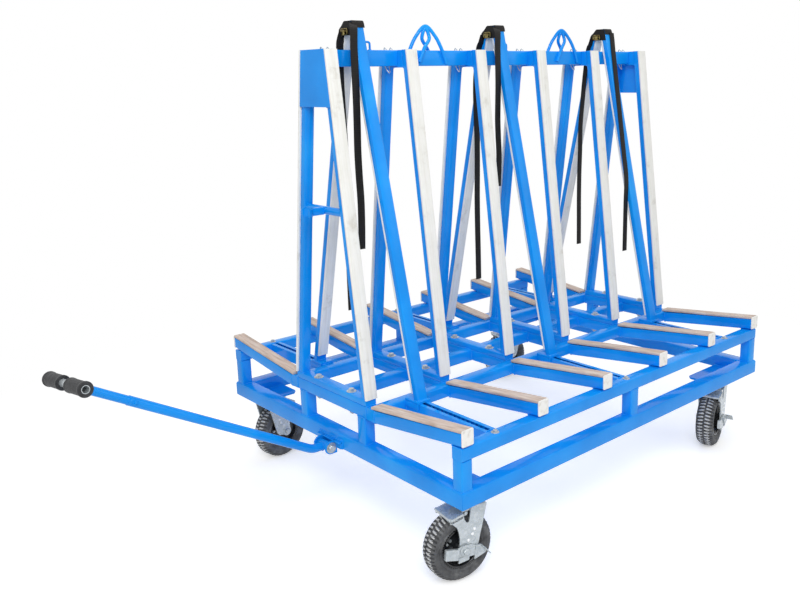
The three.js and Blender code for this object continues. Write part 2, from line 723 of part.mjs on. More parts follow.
cart.updateMatrixWorld(true);
const whole = new THREE.Box3().setFromObject(cart, true);
cart.position.x = -(whole.min.x + whole.max.x) / 2;
const object = new THREE.Group();
object.add(cart);
object.updateMatrixWorld(true);

export default object;
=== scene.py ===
import json
import math
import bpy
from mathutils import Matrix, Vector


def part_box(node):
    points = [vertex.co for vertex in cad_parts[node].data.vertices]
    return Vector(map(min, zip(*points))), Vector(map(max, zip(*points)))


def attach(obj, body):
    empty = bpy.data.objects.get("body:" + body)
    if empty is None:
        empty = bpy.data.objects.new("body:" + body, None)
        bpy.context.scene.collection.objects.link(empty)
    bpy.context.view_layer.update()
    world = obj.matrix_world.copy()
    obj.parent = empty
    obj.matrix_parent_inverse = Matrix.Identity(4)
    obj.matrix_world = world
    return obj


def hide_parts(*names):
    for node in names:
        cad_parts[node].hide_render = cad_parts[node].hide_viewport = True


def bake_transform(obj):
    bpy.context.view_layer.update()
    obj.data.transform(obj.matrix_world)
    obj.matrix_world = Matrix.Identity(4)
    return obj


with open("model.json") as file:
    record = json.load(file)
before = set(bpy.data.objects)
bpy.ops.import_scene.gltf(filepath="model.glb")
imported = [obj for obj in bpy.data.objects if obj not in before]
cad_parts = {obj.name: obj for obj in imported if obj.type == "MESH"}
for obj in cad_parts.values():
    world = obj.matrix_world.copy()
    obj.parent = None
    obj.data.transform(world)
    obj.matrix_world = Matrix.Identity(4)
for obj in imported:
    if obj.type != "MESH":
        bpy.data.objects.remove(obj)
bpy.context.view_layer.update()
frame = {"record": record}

from types import SimpleNamespace

import bmesh
import bpy
from bpy.props import FloatProperty, FloatVectorProperty, IntProperty, PointerProperty
from mathutils import Matrix, Vector, noise

bl_info = {
    "name": "Sheet Goods Cart",
    "version": (1, 0, 0),
    "blender": (4, 5, 0),
    "location": "View3D > Sidebar > Cart",
    "description": "Dresses the sheet goods cart: welded tube, pads, poles, straps, castors and tow bar",
    "category": "Object",
}

BUMP = "ShaderNodeBump"
MAPPING = "ShaderNodeMapping"
MATH = "ShaderNodeMath"
MIX = "ShaderNodeMix"
NOISE = "ShaderNodeTexNoise"
RAMP = "ShaderNodeValToRGB"
WAVE = "ShaderNodeTexWave"

ALONG = Vector((1, 0, 0))
OUTWARD = Vector((0, 1, 0))
UP = Vector((0, 0, 1))
BOTH = (-1, 1)
SQUARE = ((-1, -1), (1, -1), (1, 1), (-1, 1))
SIDES = (("front", -1), ("back", 1))
FRAMES = 6
PAIRS = 3
CORNERS = ("near_front", "near_back", "far_front", "far_back")
BRAKED = ("near_front", "far_front")

# Sizes in metres that many pieces share: two bevels, how far one piece runs into the next or stands off it,
# and the corner radius of thin bars
SOFT_EDGE = 0.0008
FINE_EDGE = 0.0005
LAP = 0.001
THIN_CORNER = 0.001

# The back pole heads: how far below the front heads the sloping cut crosses the tube's middle line, and its
# slope
BACK_HEAD_DROP = 0.0125
BACK_HEAD_SLOPE = 1.0

# The straps' loose ends: the side of its pole that each front one hangs on, and the height where the third
# one has crossed its pole; then, for the back ones, the height of the end, how far out it hangs from the
# pole's head, and how fast it drifts out
FRONT_TAIL_SIDES = (-1, -1, 1)
TAIL_CROSSED = 1.02
BACK_TAIL_ENDS = (0.685, 0.675, 0.718)
BACK_TAIL_OUT = (-0.012, 0.025, 0.045)
BACK_TAIL_DRIFT = 0.12


def metres(name, description, default):
    """A property for a size."""
    return FloatProperty(name=name, description=description, default=default, unit="LENGTH")


def srgb(name, description, default):
    """A property for an sRGB colour."""
    return FloatVectorProperty(name=name, description=description, default=default, subtype="COLOR_GAMMA")


class CartTubing(bpy.types.PropertyGroup):
    """Sizes of the welded tubes."""

    rail: metres("Bottom rail", "Side of the square bottom rail", 0.050)
    tube: metres("Upper tube", "Side of the square upper tubes", 0.040)
    inset: metres("Inset", "Upper tubes set in from the bottom rail", 0.005)
    corner: metres("Corner", "Outer corner radius of a tube", 0.0045)
    bead: metres("Weld bead", "Radius of a weld bead", 0.0028)
    ripple: metres("Weld ripple", "Pitch of a weld bead's ripples", 0.005)
    lean: FloatProperty(name="Lean", description="Lean of the posts", default=math.radians(7),
                        subtype="ANGLE")
    post_width: metres("Post width", "Width of a lean post", 0.032)
    post_depth: metres("Post depth", "Depth of a lean post", 0.025)
    ridge_gap: metres("Ridge gap", "Half the gap between two posts at the top", 0.036)
    foot: metres("Foot tube", "Height of an A-frame's foot tube", 0.020)
    gusset: metres("Gusset", "Height of the plate on an end frame", 0.168)
    plate: metres("Plate", "Thickness of the gusset", 0.006)
    castor_plate: metres("Castor plate", "Thickness of a corner plate", 0.008)
    arm_width: metres("Arm width", "Width of an arm", 0.038)
    crown_bar: metres("Crown bar", "Diameter of a lifting crown's bar", 0.012)


class CartPadding(bpy.types.PropertyGroup):
    """Sizes of the pads, strips, poles and straps."""

    width: metres("Pad width", "Width of a lean pad", 0.044)
    thick: metres("Pad thickness", "Thickness of a pad", 0.008)
    seat: metres("Seat gap", "Gap between a pad and its tube", 0.0003)
    pole_width: metres("Pole width", "Width of a clamp pole", 0.040)
    pole_depth: metres("Pole depth", "Depth of a clamp pole", 0.020)
    foot_gap: metres("Foot gap", "Pole pad beyond the long tube at the track", 0.0287)
    head_gap: metres("Head gap", "Pole pad from the middle plane at the top", 0.0012)
    strap: metres("Strap width", "Width of the webbing", 0.027)
    webbing: metres("Webbing", "Thickness of the webbing", 0.0024)


class CartWheels(bpy.types.PropertyGroup):
    """Sizes of the castors."""

    radius: metres("Wheel radius", "Radius of a wheel", 0.105)
    width: metres("Wheel width", "Width of a tyre", 0.066)
    rim: metres("Rim radius", "Radius of the wheel centre", 0.062)
    rim_width: metres("Rim width", "Width of the wheel centre", 0.054)
    gap: metres("Fork gap", "Clear width inside a fork", 0.076)
    leg: metres("Fork leg", "Thickness of a fork leg", 0.005)
    blocks: IntProperty(name="Tread blocks", description="Tread blocks round a tyre", default=50)


class CartTow(bpy.types.PropertyGroup):
    """Sizes of the tow bar."""

    tube: metres("Tube radius", "Radius of the outer tube", 0.014)
    inner: metres("Inner radius", "Radius of the inner tube", 0.0126)
    tube_length: metres("Tube length", "Outer tube from the bend to its end", 0.652)
    neck: metres("Neck", "Hitch pin to the bend", 0.050)
    barrel: metres("Barrel", "Length of the eye on the hitch pin", 0.056)
    handle: metres("Handle radius", "Radius of the cross handle", 0.011)
    handle_half: metres("Handle half", "Half the cross handle's length", 0.115)


class CartColours(bpy.types.PropertyGroup):
    """Colours of the finishes, as sRGB."""

    blue: srgb("Blue paint", "Powder coat", (0.063, 0.592, 0.960))
    cream: srgb("Cream pad", "Lean pads", (0.945, 0.945, 0.925))
    tan: srgb("Tan strip", "Arm strips", (0.815, 0.738, 0.688))


class CartSettings(bpy.types.PropertyGroup):
    """Everything a user may change."""

    tubing: PointerProperty(type=CartTubing)
    padding: PointerProperty(type=CartPadding)
    wheels: PointerProperty(type=CartWheels)
    tow: PointerProperty(type=CartTow)
    colours: PointerProperty(type=CartColours)


def settings():
    """The sizes and colours of this scene's cart."""
    return bpy.context.scene.sheet_cart


def middle_of(node_name):
    """The middle of a CAD node's box."""
    low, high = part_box(node_name)
    return (low + high) / 2


def joint_called(name):
    """One joint of the part's record."""
    return next(joint for joint in frame["record"]["behaviour"]["joints"] if joint["name"] == name)


def measures():
    """Lines that several pieces share, taken from the frame."""
    tubing = settings().tubing
    padding = settings().padding
    low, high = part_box("bottom_frame")
    m = SimpleNamespace()
    m.mid = (low.x + high.x) / 2
    m.half_length = (high.x - low.x) / 2
    m.half_width = (high.y - low.y) / 2
    m.rail_low = low.z
    m.rail_top = high.z
    m.tube_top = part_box("side_frame_front")[1].z
    m.tube_low = m.tube_top - tubing.tube
    m.tube_mid = (m.tube_low + m.tube_top) / 2
    m.side_y = m.half_width - tubing.inset - tubing.tube / 2
    m.outer_y = m.half_width - tubing.inset
    m.inner_y = m.outer_y - tubing.tube
    m.outer_x = m.half_length - tubing.inset
    m.frames = [middle_of(f"pad_front_{i + 1}").x for i in range(FRAMES)]
    m.poles = [middle_of(f"clamp_pole_front_{k + 1}").x for k in range(PAIRS)]
    m.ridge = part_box("a_frame_2")[1].z
    m.foot_top = m.tube_top + tubing.foot
    m.foot_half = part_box("a_frame_2")[1].y
    m.long_y = m.foot_half + tubing.tube / 2
    m.long_outer = m.foot_half + tubing.tube
    m.lean_tan = math.tan(tubing.lean)
    m.lean_cos = math.cos(tubing.lean)
    m.arm_depth = tubing.tube / m.lean_cos
    arm_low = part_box("track_frame_front")[1].z - m.arm_depth
    m.arm_tan = (arm_low - m.tube_top - padding.seat) / tubing.tube
    m.pole_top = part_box("clamp_pole_front_1")[1].z
    m.pole_tan = (m.long_outer + padding.foot_gap - padding.head_gap) / (m.pole_top - m.tube_top)
    m.pole_cos = math.cos(math.atan(m.pole_tan))
    m.rail_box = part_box("top_rail")
    return m


# Materials: each function describes one finish and gives the inputs of its shader

def linear(code):
    """An sRGB hex colour as linear red, green, blue and alpha."""
    parts = [int(code[i:i + 2], 16) / 255 for i in (1, 3, 5)]
    return [c / 12.92 if c <= 0.04045 else ((c + 0.055) / 1.055) ** 2.4 for c in parts] + [1]


def hex_of(values):
    """A colour property as an sRGB hex value."""
    return "#" + "".join(f"{round(c * 255):02x}" for c in values)


def node(tree, kind, inputs=(), stops=(), **values):
    """Adds a node with its values, its inputs (constants or sockets) and, for a ramp, its colour stops."""
    made = tree.nodes.new(kind)
    for key, value in values.items():
        setattr(made, key, value)
    for key, value in dict(inputs).items():
        if isinstance(value, bpy.types.NodeSocket):
            tree.links.new(value, made.inputs[key])
        else:
            made.inputs[key].default_value = value
    for number, (place, code) in enumerate(stops):
        if number >= len(made.color_ramp.elements):
            made.color_ramp.elements.new(place)
        made.color_ramp.elements[number].position = place
        made.color_ramp.elements[number].color = linear(code)
    return made


def per_metre(size_mm):
    """A texture scale that gives features of this size, with coordinates in metres."""
    return 1000 / size_mm


def waves_per_metre(pitch_mm):
    """The same for the pitch of a wave texture, which at scale one runs through 20 radians in a metre."""
    radians = 20
    return per_metre(pitch_mm) * math.tau / radians


def material(finish):
    """The material that a finish describes, named after it and made on first use."""
    made = bpy.data.materials.get(finish.__name__)
    if made is None:
        made = bpy.data.materials.new(finish.__name__)
        made.use_nodes = True
        tree = made.node_tree
        tree.nodes.clear()
        where = node(tree, "ShaderNodeTexCoord").outputs["Object"]
        shader = node(tree, "ShaderNodeBsdfPrincipled", finish(tree, where))
        node(tree, "ShaderNodeOutputMaterial", {"Surface": shader.outputs["BSDF"]})
    return made


def blue_powder_coat(tree, where):
    # Polyester powder coat on steel: a soft gloss, with a faint orange peel, a slow drift of shade
    # where the film is thicker, and small scuffs that dull it
    base = hex_of(settings().colours.blue)
    drift = node(tree, NOISE, {"Vector": where, "Scale": per_metre(180), "Detail": 3.0})
    peel = node(tree, NOISE, {"Vector": where, "Scale": per_metre(4), "Detail": 1.0})
    scuff = node(tree, NOISE, {"Vector": where, "Scale": per_metre(22), "Detail": 8.0, "Roughness": 0.75})
    shade = node(tree, RAMP, {"Fac": drift.outputs["Fac"]},
                 [(0.3, "#0b8ce8"), (0.55, base), (0.8, "#20a6fb")])
    worn = node(tree, RAMP, {"Fac": scuff.outputs["Fac"]},
                [(0.0, "#000000"), (0.66, "#000000"), (0.74, "#3a3a3a")])
    dusty = node(tree, MIX, {"Factor": worn.outputs["Color"], "A": shade.outputs["Color"],
                             "B": linear("#5aaef2")}, data_type="RGBA")
    rough = node(tree, RAMP, {"Fac": scuff.outputs["Fac"]}, [(0.25, "#484848"), (0.75, "#787878")])
    bump = node(tree, BUMP, {"Height": peel.outputs["Fac"], "Strength": 0.08, "Distance": 0.0004})
    return {"Base Color": dusty.outputs["Result"], "Roughness": rough.outputs["Color"],
            "Normal": bump.outputs["Normal"], "Specular IOR Level": 0.2}


def cream_rubber_strip(tree, where):
    # Extruded white natural rubber: matt, a little warm, with fine lines from the die
    # and faint grey handling marks
    base = hex_of(settings().colours.cream)
    marks = node(tree, NOISE, {"Vector": where, "Scale": per_metre(60), "Detail": 7.0, "Roughness": 0.65})
    grain = node(tree, NOISE, {"Vector": where, "Scale": per_metre(2.5), "Detail": 2.0})
    streak = node(tree, MAPPING, {"Vector": where, "Scale": (per_metre(7), per_metre(140), per_metre(140))})
    lines = node(tree, NOISE, {"Vector": streak.outputs["Vector"], "Scale": 1.0, "Detail": 3.0})
    shade = node(tree, RAMP, {"Fac": marks.outputs["Fac"]},
                 [(0.28, "#dddad2"), (0.42, base), (0.8, "#f9f8f4")])
    tint = node(tree, RAMP, {"Fac": lines.outputs["Fac"]}, [(0.3, "#e9e6de"), (0.6, "#ffffff")])
    mixed = node(tree, MIX, {"Factor": 0.4, "A": shade.outputs["Color"], "B": tint.outputs["Color"]},
                 data_type="RGBA", blend_type="MULTIPLY")
    bump = node(tree, BUMP, {"Height": grain.outputs["Fac"], "Strength": 0.25, "Distance": 0.0004})
    return {"Base Color": mixed.outputs["Result"], "Normal": bump.outputs["Normal"], "Roughness": 0.72,
            "Specular IOR Level": 0.3}


def tan_rubber_belting(tree, where):
    # Used rubber belting on the arms: pale tan, streaked along its length and rubbed white in places
    base = hex_of(settings().colours.tan)
    stretch = node(tree, MAPPING, {"Vector": where, "Scale": (per_metre(9), per_metre(90), per_metre(90))})
    streaks = node(tree, NOISE, {"Vector": stretch.outputs["Vector"], "Scale": 1.0, "Detail": 5.0})
    grit = node(tree, NOISE, {"Vector": where, "Scale": per_metre(2), "Detail": 2.0})
    worn = node(tree, NOISE, {"Vector": where, "Scale": per_metre(45), "Detail": 6.0})
    shade = node(tree, RAMP, {"Fac": streaks.outputs["Fac"]},
                 [(0.25, "#ae9a8a"), (0.5, base), (0.75, "#dfd3c9")])
    pale = node(tree, RAMP, {"Fac": worn.outputs["Fac"]}, [(0.5, "#000000"), (0.72, "#909090")])
    mixed = node(tree, MIX, {"Factor": pale.outputs["Color"], "A": shade.outputs["Color"],
                             "B": linear("#e4dcd4")}, data_type="RGBA")
    bump = node(tree, BUMP, {"Height": grit.outputs["Fac"], "Strength": 0.35, "Distance": 0.0005})
    return {"Base Color": mixed.outputs["Result"], "Normal": bump.outputs["Normal"], "Roughness": 0.8}


def white_polyethylene_cap(tree, where):
    # Moulded polyethylene end cap: white, waxy, with light scratches
    marks = node(tree, NOISE, {"Vector": where, "Scale": per_metre(14), "Detail": 6.0})
    shade = node(tree, RAMP, {"Fac": marks.outputs["Fac"]}, [(0.25, "#dcd8d0"), (0.5, "#f4f3ef")])
    bump = node(tree, BUMP, {"Height": marks.outputs["Fac"], "Strength": 0.1, "Distance": 0.0005})
    return {"Base Color": shade.outputs["Color"], "Normal": bump.outputs["Normal"], "Roughness": 0.42,
            "IOR": 1.51}


def bright_zinc_plate(tree, where):
    # Bright zinc on pressed steel: pale, faintly blue grey metal with a soft cloud in its gloss
    spangle = node(tree, "ShaderNodeTexVoronoi", {"Vector": where, "Scale": per_metre(7), "Randomness": 1.0})
    cloud = node(tree, NOISE, {"Vector": where, "Scale": per_metre(25), "Detail": 5.0})
    flake = node(tree, RAMP, {"Fac": spangle.outputs["Color"]}, [(0.2, "#bac1c4"), (0.8, "#cad0d3")])
    shade = node(tree, RAMP, {"Fac": cloud.outputs["Fac"]}, [(0.3, "#d4d8da"), (0.7, "#ffffff")])
    mixed = node(tree, MIX, {"Factor": 0.6, "A": flake.outputs["Color"], "B": shade.outputs["Color"]},
                 data_type="RGBA", blend_type="MULTIPLY")
    rough = node(tree, RAMP, {"Fac": cloud.outputs["Fac"]}, [(0.3, "#7c7c7c"), (0.7, "#9c9c9c")])
    return {"Base Color": mixed.outputs["Result"], "Roughness": rough.outputs["Color"], "Metallic": 0.4}


def yellow_zinc_plate(tree, where):
    # Yellow passivated zinc on a small pressed buckle: dull brass brown with a faint green cast
    cloud = node(tree, NOISE, {"Vector": where, "Scale": per_metre(6), "Detail": 4.0})
    shade = node(tree, RAMP, {"Fac": cloud.outputs["Fac"]},
                 [(0.3, "#4d4126"), (0.5, "#7a6a3e"), (0.7, "#8f8a5a")])
    return {"Base Color": shade.outputs["Color"], "Metallic": 0.8, "Roughness": 0.35}


def painted_highlight_rivet(tree, where):
    # Rivet heads: nearly white metal, the pale colour a painted highlight, with a sharp glint
    mottle = node(tree, NOISE, {"Vector": where, "Scale": per_metre(3), "Detail": 4.0})
    shade = node(tree, RAMP, {"Fac": mottle.outputs["Fac"]}, [(0.3, "#eceff0"), (0.7, "#ffffff")])
    rough = node(tree, RAMP, {"Fac": mottle.outputs["Fac"]}, [(0.3, "#303030"), (0.7, "#505050")])
    return {"Base Color": shade.outputs["Color"], "Roughness": rough.outputs["Color"], "Metallic": 0.2}


def dusty_tyre_rubber(tree, where):
    # Carbon black tyre rubber, greyed by dust where it meets the floor
    dust = node(tree, NOISE, {"Vector": where, "Scale": per_metre(30), "Detail": 8.0, "Roughness": 0.7})
    grain = node(tree, NOISE, {"Vector": where, "Scale": per_metre(1.5), "Detail": 2.0})
    shade = node(tree, RAMP, {"Fac": dust.outputs["Fac"]},
                 [(0.3, "#38393b"), (0.5, "#58595b"), (0.75, "#838484")])
    bump = node(tree, BUMP, {"Height": grain.outputs["Fac"], "Strength": 0.3, "Distance": 0.0004})
    return {"Base Color": shade.outputs["Color"], "Normal": bump.outputs["Normal"], "Roughness": 0.78}


def tread_tops_scuff_and_painted_highlight(tree, where):
    # Tread tops pale grey over the same rubber, partly scuffed by the floor and partly a painted highlight
    mottle = node(tree, NOISE, {"Vector": where, "Scale": per_metre(9), "Detail": 7.0, "Roughness": 0.7})
    shade = node(tree, RAMP, {"Fac": mottle.outputs["Fac"]},
                 [(0.3, "#8a8b8c"), (0.5, "#c2c3c3"), (0.75, "#dcdcda")])
    bump = node(tree, BUMP, {"Height": mottle.outputs["Fac"], "Strength": 0.3, "Distance": 0.0005})
    return {"Base Color": shade.outputs["Color"], "Normal": bump.outputs["Normal"], "Roughness": 0.8}


def black_enamel_wheel(tree, where):
    # Black enamel on the pressed wheel centre, dulled by dust
    dust = node(tree, NOISE, {"Vector": where, "Scale": per_metre(18), "Detail": 6.0})
    shade = node(tree, RAMP, {"Fac": dust.outputs["Fac"]}, [(0.35, "#17181a"), (0.75, "#34363a")])
    rough = node(tree, RAMP, {"Fac": dust.outputs["Fac"]}, [(0.3, "#505050"), (0.8, "#909090")])
    return {"Base Color": shade.outputs["Color"], "Roughness": rough.outputs["Color"]}


def black_vinyl_grip(tree, where):
    # Dipped vinyl grips: black, satin, with a fine skin and rubbed high spots
    mottle = node(tree, NOISE, {"Vector": where, "Scale": per_metre(15), "Detail": 6.0})
    film = node(tree, NOISE, {"Vector": where, "Scale": per_metre(1.2), "Detail": 1.0})
    shade = node(tree, RAMP, {"Fac": mottle.outputs["Fac"]}, [(0.35, "#1b1c1e"), (0.75, "#3a3b3e")])
    bump = node(tree, BUMP, {"Height": film.outputs["Fac"], "Strength": 0.25, "Distance": 0.0003})
    return {"Base Color": shade.outputs["Color"], "Normal": bump.outputs["Normal"], "Roughness": 0.5}


def black_polyester_webbing(tree, _):
    # Woven polyester webbing: ribs 1.6 mm and yarns 1.2 mm apart, drawn about four times as coarse so that
    # they show
    flat = node(tree, "ShaderNodeTexCoord").outputs["UV"]
    ribs = node(tree, WAVE, {"Vector": flat, "Scale": waves_per_metre(6.317), "Distortion": 0.6},
                bands_direction="Y")
    yarns = node(tree, WAVE, {"Vector": flat, "Scale": waves_per_metre(4.737), "Distortion": 0.4},
                 bands_direction="X")
    weave = node(tree, MATH, {0: ribs.outputs["Fac"], 1: yarns.outputs["Fac"]}, operation="MULTIPLY")
    shade = node(tree, RAMP, {"Fac": weave.outputs["Value"]},
                 [(0.0, "#0a0908"), (0.6, "#171311"), (1.0, "#2a2420")])
    bump = node(tree, BUMP, {"Height": weave.outputs["Value"], "Strength": 0.5, "Distance": 0.0006})
    return {"Base Color": shade.outputs["Color"], "Normal": bump.outputs["Normal"], "Roughness": 0.65,
            "Specular IOR Level": 0.3}


# Shapes

def angles(count):
    """Angles spread evenly round a full turn."""
    return [2 * math.pi * k / count for k in range(count)]


def degrees(first, last, step):
    """Angles from first to last, both included."""
    return [math.radians(d) for d in range(first, last + (1 if step > 0 else -1), step)]


def skin(bm, rows, closed_rows=False):
    """Quads between rows of points; each row is a closed ring."""
    count = len(rows[0])
    pairs = list(zip(rows, rows[1:]))
    if closed_rows:
        pairs.append((rows[-1], rows[0]))
    for one, two in pairs:
        for k in range(count):
            bm.faces.new((one[k], one[(k + 1) % count], two[(k + 1) % count], two[k]))
    if not closed_rows:
        bm.faces.new(list(reversed(rows[0])))
        bm.faces.new(rows[-1])


def rounded_section(width, depth, corner, steps=3):
    """A rectangle with round corners, as offsets along the two directions of the section."""
    points = []
    for quarter, (side, top) in enumerate(((1, 1), (-1, 1), (-1, -1), (1, -1))):
        for step in range(steps + 1):
            angle = math.radians(90) * (quarter + step / steps)
            points.append((side * (width / 2 - corner) + corner * math.cos(angle),
                           top * (depth / 2 - corner) + corner * math.sin(angle)))
    return points


def sweep(bm, section, start, end, across, deep, start_cut=None, end_cut=None, rings=1, sway=0.0):
    """A straight bar of one section, its ends square or cut along a plane with the given normal.

    With a sway, the rings between its ends stand a little in or out, as on a glued strip.
    """
    along = (end - start).normalized()
    sways_per_metre = 9
    rows = []
    for ring in range(rings + 1):
        share = ring / rings
        middle = start.lerp(end, share)
        cut = start_cut if ring == 0 else end_cut if ring == rings else None
        drift = deep * (sway * noise.noise(middle * sways_per_metre)) if 0 < ring < rings else Vector()
        row = []
        for a, b in section:
            place = middle + across * a + deep * b
            if cut is not None:
                place += along * ((middle - place).dot(cut) / along.dot(cut))
            row.append(bm.verts.new(place + drift))
        rows.append(row)
    skin(bm, rows)


def square_tube(bm, start, end, across, deep, size, start_cut=None, end_cut=None):
    """A straight square tube with rounded edges."""
    section = rounded_section(size, size, settings().tubing.corner)
    sweep(bm, section, start, end, across, deep, start_cut, end_cut)


def evenly(path, step, closed):
    """Points at an even spacing along a broken line."""
    line = list(path) + ([path[0]] if closed else [])
    placed = []
    for one, two in zip(line, line[1:]):
        count = max(1, round((two - one).length / step))
        placed += [one.lerp(two, i / count) for i in range(count)]
    if not closed:
        placed.append(line[-1])
    return placed


def smooth(points, per_span=8):
    """A smooth line through the points."""
    out = []
    last = len(points) - 1
    for i in range(last):
        a, b, c, d = (points[max(0, min(last, i + k))] for k in (-1, 0, 1, 2))
        for step in range(per_span):
            t = step / per_span
            out.append(0.5 * (2 * b + (c - a) * t + (2 * a - 5 * b + 4 * c - d) * t * t
                              + (3 * b - a - 3 * c + d) * t ** 3))
    out.append(points[-1].copy())
    return out


def directions(path, closed=False):
    """Two side directions at each point of a path, carried along without twist."""
    count = len(path)
    tangents = []
    for i in range(count):
        before = path[i - 1] if closed or i else path[i]
        after = path[(i + 1) % count] if closed or i < count - 1 else path[i]
        tangents.append((after - before).normalized())
    side = tangents[0].orthogonal().normalized()
    carried = []
    for tangent in tangents:
        side = (side - tangent * side.dot(tangent)).normalized()
        carried.append((side, tangent.cross(side)))
    return carried


def rod(bm, path, radius, sides=10, closed=False, ripple=0.0):
    """A round bar along a path, every second ring thinner by the ripple."""
    rows = []
    for i, (place, (side, third)) in enumerate(zip(path, directions(path, closed))):
        size = radius * (1 - ripple * (i % 2))
        rows.append([bm.verts.new(place + (side * math.cos(a) + third * math.sin(a)) * size)
                     for a in angles(sides)])
    skin(bm, rows, closed_rows=closed)


def bead(bm, path, closed=False):
    """A weld bead along a path, with the ripples that the welder leaves."""
    tubing = settings().tubing
    rod(bm, evenly(path, tubing.ripple / 2, closed), tubing.bead, sides=6, closed=closed, ripple=0.22)


def weld_round(bm, middle, across, deep, width=0.0, depth=0.0):
    """A bead round a tube's end, on the face it is welded to; a size left out is the upper tube's."""
    tubing = settings().tubing
    section = rounded_section(width or tubing.tube, depth or tubing.tube, tubing.corner, steps=1)
    bead(bm, [middle + across * a + deep * b for a, b in section], closed=True)


def prism(bm, outline, thickness):
    """A flat plate from its outline, thickened by a vector."""
    low = [bm.verts.new(point) for point in outline]
    high = [bm.verts.new(point + thickness) for point in outline]
    skin(bm, [low, high])


def turned(bm, profile, centre, axis, steps=48, ring=True, radius_at=None):
    """A turned piece from (radius, distance along the axis) points; ring closes the profile on itself."""
    side = axis.orthogonal().normalized()
    third = axis.cross(side)
    rows = []
    for step, angle in enumerate(angles(steps)):
        out = side * math.cos(angle) + third * math.sin(angle)
        row = []
        for index, (radius, along) in enumerate(profile):
            size = radius_at(step, index, radius) if radius_at else radius
            row.append(bm.verts.new(centre + out * size + axis * along))
        rows.append(row)
    count = len(profile)
    spans = count if ring else count - 1
    for step in range(steps):
        one, two = rows[step], rows[(step + 1) % steps]
        for k in range(spans):
            bm.faces.new((one[k], one[(k + 1) % count], two[(k + 1) % count], two[k]))
    if not ring:
        bm.faces.new([row[0] for row in reversed(rows)])
        bm.faces.new([row[-1] for row in rows])


def hex_head(bm, seat, axis, across, height, washer=True):
    """A hexagon head on a washer, standing on its seat."""
    start = seat
    if washer:
        thick, edge = 0.0016, 0.0012
        wide = across * 0.95
        turned(bm, [(wide, 0), (wide, edge), (across * 0.9, thick)], seat, axis, 20, ring=False)
        start = seat + axis * thick
    corner = across / 2 / math.cos(math.pi / 6)
    turned(bm, [(corner, 0), (corner, height * 0.8), (corner * 0.86, height)], start, axis, 6, ring=False)


def ribbon(bm, path, wide, width, thickness):
    """Webbing along a path, with its width in one direction and its own length in the UV map."""
    layer = bm.loops.layers.uv.verify()
    section = rounded_section(width, thickness, thickness * 0.45, steps=2)
    travelled = 0.0
    rows, run = [], []
    for i, place in enumerate(path):
        if i:
            travelled += (place - path[i - 1]).length
        before = path[max(0, i - 1)]
        after = path[min(len(path) - 1, i + 1)]
        tangent = (after - before).normalized()
        across = (wide - tangent * wide.dot(tangent)).normalized()
        deep = tangent.cross(across)
        rows.append([bm.verts.new(place + across * a + deep * b) for a, b in section])
        run.append(travelled)
    known = {vert: (section[k][0], run[i]) for i, row in enumerate(rows) for k, vert in enumerate(row)}
    skin(bm, rows)
    for face in bm.faces:
        for loop in face.loops:
            if loop.vert in known:
                loop[layer].uv = known[loop.vert]


def piece(name, bm, finish, body, nodes=(), slot="blue_paint", bevel=0.0, angle=35, across=None):
    """Turns a bmesh into a piece that stands for the named CAD nodes; it rides on a body, or, when across is
    given, is baked in place and rides on none.
    """
    bmesh.ops.recalc_face_normals(bm, faces=bm.faces)
    mesh = bpy.data.meshes.new(name)
    bm.to_mesh(mesh)
    bm.free()
    mesh.shade_smooth()
    mesh.set_sharp_from_angle(angle=math.radians(angle))
    made = bpy.data.objects.new(name, mesh)
    bpy.context.scene.collection.objects.link(made)
    mesh.materials.append(material(finish))
    if bevel:
        soft = made.modifiers.new("soft_edges", "BEVEL")
        soft.width = bevel
        soft.segments = 2
        soft.limit_method = "ANGLE"
        soft.angle_limit = math.radians(40)
    if across:
        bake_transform(made)
    else:
        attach(made, body)
    if nodes:
        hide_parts(*nodes)
    return made


def painted(name, bm, node_name, bevel=SOFT_EDGE):
    """A blue piece of the cart's body that stands for one node."""
    piece(name, bm, blue_powder_coat, "cart", [node_name], bevel=bevel)


def plated(name, bm, body="cart", **options):
    """A zinc plated piece."""
    piece(name, bm, bright_zinc_plate, body, slot="zinc", **options)


# Base

def at(m, x, y, z):
    """A point given from the middle of the base."""
    return Vector((m.mid + x, y, z))


def dress_bottom_frame(m):
    """The mitred bottom frame, welded across its corners, with the four castor plates."""
    tubing = settings().tubing
    half_x = m.half_length - tubing.rail / 2
    half_y = m.half_width - tubing.rail / 2
    z = (m.rail_low + m.rail_top) / 2
    corners = [at(m, a * half_x, b * half_y, z) for a, b in SQUARE]
    mitre = tubing.rail / 2 * math.sqrt(2)
    weld_out, weld_in = 0.86, 0.95
    bm = bmesh.new()
    for i, (a, b) in enumerate(SQUARE):
        one, two = corners[i], corners[(i + 1) % 4]
        along = (two - one).normalized()
        side = along.cross(UP)
        square_tube(bm, one, two, side, UP, tubing.rail, along + side, along - side)
        inward = Vector((-a, -b, 0)).normalized()
        top = Vector((one.x, one.y, m.rail_top))
        bead(bm, [top - inward * mitre * weld_out, top + inward * mitre * weld_in])
    for corner in CORNERS:
        castor_plate(bm, m, corner)
    painted("bottom_frame_tubes", bm, "bottom_frame")


